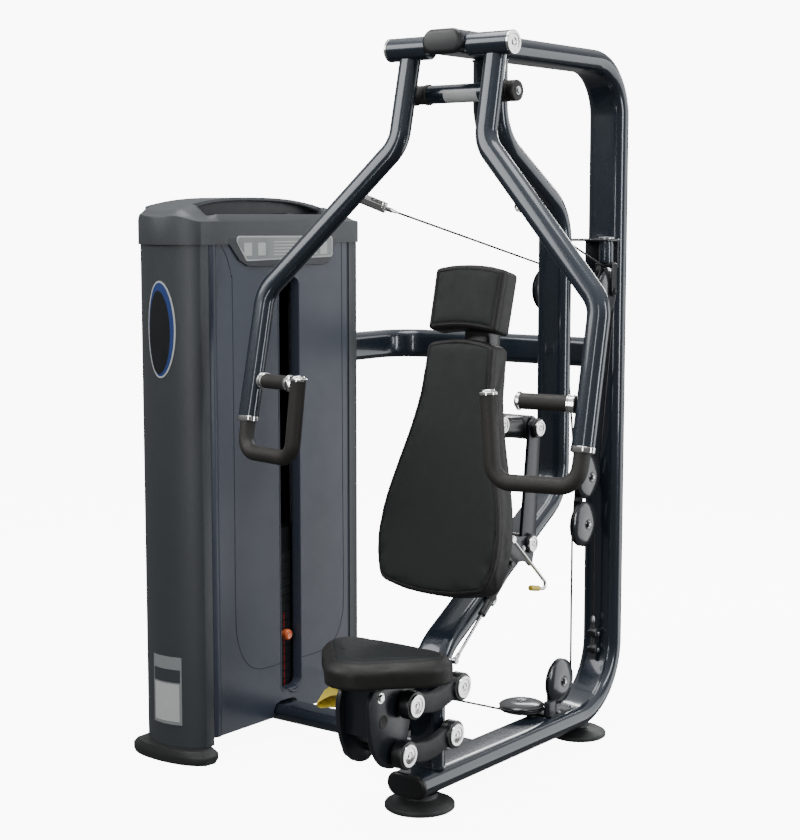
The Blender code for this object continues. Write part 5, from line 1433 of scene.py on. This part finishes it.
def cushion(name, outline, thick, levels, crown, place, body, node, seams, cap=0.005, dish=0.0):
    """An upholstered pad: a boxed side, a rolled edge and a crowned face, puffed up as cloth.

    outline runs anticlockwise in the pad's own u and v, and place takes u, v and height into machine axes.
    levels are (inset, height) pairs from the back to the edge of the face.
    """
    rings = [[(spot.x, spot.y, height) for spot in inset_loop(outline, inset)] for inset, height in levels]
    last_inset, last_height = levels[-1]
    rim = inset_loop(outline, last_inset)
    centre = sum(rim, Vector((0, 0))) / len(rim)
    for size in (0.9, 0.78, 0.62, 0.44, 0.24, 0.08):
        rise = crown * (1 - size ** 2.2) - dish * (1 - size) ** 1.5
        rings.append([(*(centre + (spot - centre) * size), last_height + rise) for spot in rim])
    form = loft(rings)
    bmesh.ops.recalc_face_normals(form, faces=form.faces)
    mesh = bpy.data.meshes.new(name)
    form.to_mesh(mesh)
    form.free()
    item = bpy.data.objects.new(name, mesh)
    bpy.context.scene.collection.objects.link(item)
    puff(item, cap)
    shape_seams(item, outline, thick, seams)
    item.data.transform(Matrix.Translation((X0, Y0, 0)) @ place)
    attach(item, body)
    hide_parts(node)
    return item


def bake(item):
    """Apply every modifier of an object to its mesh."""
    bpy.context.view_layer.update()
    view = bpy.context.evaluated_depsgraph_get()
    result = bpy.data.meshes.new_from_object(item.evaluated_get(view))
    item.modifiers.clear()
    item.data = result


def puff(item, cap):
    """Inflate the pad's cover a little, with its flat back held, and limit how far it moves."""
    remesh = item.modifiers.new("skin", "REMESH")
    remesh.mode = "VOXEL"
    remesh.voxel_size = 0.0055
    bake(item)
    count = len(item.data.vertices)
    before = np.empty(count * 3)
    item.data.vertices.foreach_get("co", before)
    before = before.reshape(-1, 3)
    held = item.vertex_groups.new(name="held")
    held.add([int(k) for k in np.nonzero(before[:, 2] < 0.012)[0]], 1.0, "REPLACE")
    cloth = item.modifiers.new("cover", "CLOTH")
    cloth.settings.use_pressure = True
    cloth.settings.uniform_pressure_force = 3.0
    cloth.settings.vertex_group_mass = "held"
    cloth.settings.tension_stiffness = 25
    cloth.settings.compression_stiffness = 25
    cloth.settings.bending_stiffness = 12.0
    cloth.settings.quality = 5
    cloth.settings.effector_weights.gravity = 0.0
    cloth.point_cache.frame_start = 1
    cloth.point_cache.frame_end = 20
    scene = bpy.context.scene
    for number in range(1, 21):
        scene.frame_set(number)
    bake(item)
    scene.frame_set(1)
    after = np.empty(count * 3)
    item.data.vertices.foreach_get("co", after)
    step = after.reshape(-1, 3) - before
    length = np.linalg.norm(step, axis=1, keepdims=True)
    step *= np.minimum(1.0, cap / np.maximum(length, 1e-9))
    item.data.vertices.foreach_set("co", (before + step).ravel())
    item.vertex_groups.clear()
    finer = item.modifiers.new("finer", "SUBSURF")
    finer.levels = finer.render_levels = 1
    bake(item)
    item.data.shade_smooth()


def shape_seams(item, outline, thick, seams):
    """Press the sewn seams in, and give the face and the border their own leather."""
    mesh = item.data
    count = len(mesh.vertices)
    spots = np.empty(count * 3)
    mesh.vertices.foreach_get("co", spots)
    spots = spots.reshape(-1, 3)
    normals = np.empty(count * 3)
    mesh.vertices.foreach_get("normal", normals)
    normals = normals.reshape(-1, 3)
    away = distances(spots[:, :2], outline)
    face_seam, side_seam, depth = seams
    facing = normals[:, 2] > 0.45
    press = np.where(facing, np.exp(-((away - face_seam) / 0.0024) ** 2), 0.0)
    sides = (normals[:, 2] < 0.75) & (spots[:, 2] > thick * 0.3)
    press = np.maximum(press, np.where(sides, np.exp(-((spots[:, 2] - side_seam) / 0.0022) ** 2), 0.0))
    mesh.vertices.foreach_set("co", (spots - normals * press[:, None] * depth).ravel())
    mesh.materials.clear()
    mesh.materials.append(BORDER[0])
    mesh.materials.append(VINYL[0])
    for face in mesh.polygons:
        chosen = face.vertices[0]
        face.material_index = 1 if facing[chosen] and away[chosen] > face_seam else 0
    mesh.shade_smooth()
    mesh.update()


def seam_cord(name, outline, place, body):
    """The piping that is sewn in along a leaning pad's face seam, just showing."""
    height = PAD_THICK - 0.0006
    spots = [place @ Vector((spot.x, spot.y, height)) for spot in inset_loop(outline, FACE_SEAM)]
    out = (place.to_3x3() @ Vector((0, 0, 1))).normalized()
    rings = []
    for index, spot in enumerate(spots):
        along = (spots[(index + 1) % len(spots)] - spots[index - 1]).normalized()
        side = along.cross(out).normalized()
        rings.append([spot + (side * a + out * b) for a, b in circle(0.0013, 8)])
    show(name, loft(rings, capped=False), THREAD, body, smooth=60)


def mirrored(points):
    return [(-a, b) for a, b in points[::-1]]


def pad_place(low, high, base, thick):
    """The frame of a leaning pad: u across, v up the face, height towards the user.

    low and high are (y, z) spots up the face, and base is where v is zero on it."""
    up = Vector((0, high[0] - low[0], high[1] - low[1])).normalized()
    out = Vector((1, 0, 0)).cross(up)
    place = Matrix((Vector((1, 0, 0)), up, out)).transposed().to_4x4()
    place.translation = Vector((0, *base)) - out * thick
    return place


def leaning_pad(name, node, side, lid, base, top_z, stretch, samples, passes, place):
    """A back rest pad from its right side, top to bottom, and the right halves of its two short edges."""
    side = [Vector(spot) for spot in side]
    top = smooth_pairs(mirrored(lid[1:]) + lid, 20)
    bottom = smooth_pairs((mirrored(base[1:]) + base)[::-1], 20)
    lines = [top[::-1], [Vector(spot) for spot in mirrored(side)][::-1], bottom[::-1], side[::-1]]
    flat = [[Vector((a, (b - top_z) * stretch)) for a, b in line] for line in lines]
    outline = even_loop(flat, samples, passes)
    seams = (FACE_SEAM, PAD_THICK - 0.0150, 0.0016)
    cushion(name, outline, PAD_THICK, LEVELS, 0.0008, place, "back_rest", node, seams, 0.0022)
    seam_cord(name + "_piping", outline, place, "back_rest")


FACE_SEAM = 0.0085
LEVELS = [
    (0.0040, 0.0), (-0.0010, 0.0015), (-0.0042, 0.0060), (-0.0042, PAD_THICK - 0.0100),
    (-0.0036, PAD_THICK - 0.0055),
    (-0.0012, PAD_THICK - 0.0022), (0.0030, PAD_THICK - 0.0004), (0.0085, PAD_THICK),
    (0.0190, PAD_THICK + 0.0004),
]
side = smooth_pairs([
    (0.1030, 1.196), (0.1060, 1.130), (0.1105, 1.064), (0.1290, 0.975), (0.1560, 0.881), (0.1800, 0.790),
    (0.1895, 0.715), (0.1865, 0.655), (0.1745, 0.606), (0.1620, 0.580),
], 60)
lid = [(0.0, 1.2100), (0.052, 1.2065), (0.1030, 1.196)]
base = [(0.0, 0.5585), (0.085, 0.5640), (0.1620, 0.580)]
top = (PAD_TOP_Y, PAD_TOP_Z)
place = pad_place((face_y(0.570), 0.570), top, top, PAD_THICK)
leaning_pad("back_cushion", "back_pad", side, lid, base, PAD_TOP_Z, 1 / math.cos(lean), 200, 2, place)

side = [(0.1060, 1.389), (0.1045, 1.310), (0.1028, 1.236)]
lid = [(0.0, 1.4005), (0.054, 1.3975), (0.1060, 1.389)]
base = [(0.0, 1.2455), (0.052, 1.2425), (0.1028, 1.236)]
place = pad_place((-0.751, 1.229), (-0.709, 1.396), (-0.711, 1.389), PAD_THICK)
leaning_pad("head_cushion", "head_pad", side, lid, base, 1.389, 1.031, 160, 1, place)

SEAT_THICK = seat_high.z - seat_low.z
half = [(0.0, -0.992), (0.105, -0.995), (0.150, -1.008), (0.176, -1.032), (0.186, -1.065), (0.177, -1.100)]
half += [(0.143, -1.142), (0.102, -1.183), (0.070, -1.222), (0.040, -1.252), (0.0, -1.262)]
seat_loop = [Vector(spot) for spot in smooth_loop(half + [(-a, b) for a, b in half[-2:0:-1]], 220)]
area = sum(p.x * q.y - q.x * p.y for p, q in zip(seat_loop, seat_loop[1:] + seat_loop[:1]))
if area < 0:
    seat_loop.reverse()
SEAT_LEVELS = [
    (0.0040, 0.0), (-0.0010, 0.0015), (-0.0036, 0.0050), (-0.0036, SEAT_THICK - 0.0270),
    (-0.0020, SEAT_THICK - 0.0225), (0.0060, SEAT_THICK - 0.0130), (0.0150, SEAT_THICK - 0.0055),
    (0.0225, SEAT_THICK - 0.0030), (0.0240, SEAT_THICK - 0.0002), (0.0300, SEAT_THICK + 0.0004),
]
seams = (0.0232, SEAT_THICK + 0.0300, 0.0018)  # the side seam is set above the pad, so only the face's shows
place = Matrix.Translation((0, 0, seat_low.z))
cushion("seat_cushion", seat_loop, SEAT_THICK, SEAT_LEVELS, 0.0012, place, "carriage", "seat_pad", seams,
        0.0018)

# Stage --------------------------------------------------------------------------------------------


def stage_material(name, colour, rough, glow):
    made = material(name, colour, rough, spread=0.006, patch=0.8, grain=0.02, grain_scale=60)
    shader = made.node_tree.nodes["Principled BSDF"]
    shader.inputs["Specular IOR Level"].default_value = 0.0
    shader.inputs["Emission Color"].default_value = (1, 1, 1, 1)
    shader.inputs["Emission Strength"].default_value = glow
    return made


def stage_object(name, form, finish):
    """A part of the set, seen only by the camera."""
    mesh = bpy.data.meshes.new(name)
    form.to_mesh(mesh)
    form.free()
    item = bpy.data.objects.new(name, mesh)
    bpy.context.scene.collection.objects.link(item)
    mesh.materials.append(finish)
    item.visible_diffuse = False
    item.visible_glossy = False
    item.visible_transmission = False
    return item


FLOOR_REACH, DOME_RADIUS = 16.0, 22.0
form = bmesh.new()
corners = [(-1, -1), (1, -1), (1, 1), (-1, 1)]
form.faces.new([form.verts.new((a * FLOOR_REACH, b * FLOOR_REACH, -0.0005)) for a, b in corners])
stage_object("floor", form, stage_material("pale_floor", (0.80, 0.80, 0.80), 0.7, 9.0))
form = bmesh.new()
bmesh.ops.create_icosphere(form, subdivisions=4, radius=DOME_RADIUS)
bmesh.ops.reverse_faces(form, faces=form.faces)
dome = stage_object("backdrop", form, stage_material("pale_backdrop", (0.0, 0.0, 0.0), 1.0, 9.6))
dome.visible_shadow = False

world = bpy.data.worlds.new("studio")
bpy.context.scene.world = world
world.use_nodes = True
nodes, links = world.node_tree.nodes, world.node_tree.links
direction = nodes.new("ShaderNodeTexCoord")
parts = nodes.new("ShaderNodeSeparateXYZ")
links.new(direction.outputs["Generated"], parts.inputs["Vector"])
height = nodes.new("ShaderNodeMapRange")
height.inputs["From Min"].default_value = -1.0
links.new(parts.outputs["Z"], height.inputs["Value"])
sky = nodes.new("ShaderNodeValToRGB")
links.new(height.outputs["Result"], sky.inputs["Fac"])
sky.color_ramp.elements[0].color = (0.10, 0.10, 0.10, 1)
sky.color_ramp.elements[1].color = (1.0, 1.0, 1.0, 1)
for place, tone in ((0.46, 0.14), (0.54, 0.20), (0.70, 0.42), (0.85, 0.85)):
    sky.color_ramp.elements.new(place).color = (tone, tone, tone * 1.02, 1)
links.new(sky.outputs["Color"], nodes["Background"].inputs["Color"])
nodes["Background"].inputs["Strength"].default_value = 1.0

AIM = Vector((X0 - 0.20, Y0 - 0.60, 1.0))


def softbox(name, place, size, power, tint=(1, 1, 1)):
    lamp = bpy.data.lights.new(name, "AREA")
    lamp.shape = "RECTANGLE"
    lamp.size, lamp.size_y = size
    lamp.energy = power
    lamp.color = tint
    item = bpy.data.objects.new(name, lamp)
    bpy.context.scene.collection.objects.link(item)
    item.location = Vector((X0, Y0, 0)) + Vector(place)
    item.rotation_euler = (AIM - item.location).to_track_quat("-Z", "Y").to_euler()


softbox("key_box", (-2.6, -3.6, 3.4), (2.2, 2.2), 80)
softbox("side_strip", (3.6, -0.6, 1.9), (0.5, 3.0), 60, (0.95, 0.98, 1.0))
softbox("side_box", (3.2, 3.3, 0.7), (3.4, 4.6), 105, (0.97, 0.99, 1.0))
softbox("front_strip", (0.6, -4.6, 1.6), (0.35, 3.2), 34)
softbox("top_box", (-0.2, -0.8, 4.2), (2.6, 2.0), 95)
softbox("rim_strip", (-1.0, 3.2, 2.4), (3.0, 0.6), 60)

AZIMUTH, PITCH = math.radians(37.07), math.radians(6.69)
camera = bpy.data.cameras.new("camera")
camera.lens = 73.97
camera.sensor_width = 36.0
eye = bpy.data.objects.new("camera", camera)
bpy.context.scene.collection.objects.link(eye)
eye.location = Vector((X0, Y0, 0)) + Vector((2.5807, -4.4264, 1.5245))
gaze = Vector((-math.sin(AZIMUTH) * math.cos(PITCH), math.cos(AZIMUTH) * math.cos(PITCH), -math.sin(PITCH)))
eye.rotation_euler = gaze.to_track_quat("-Z", "Y").to_euler()
bpy.context.scene.camera = eye
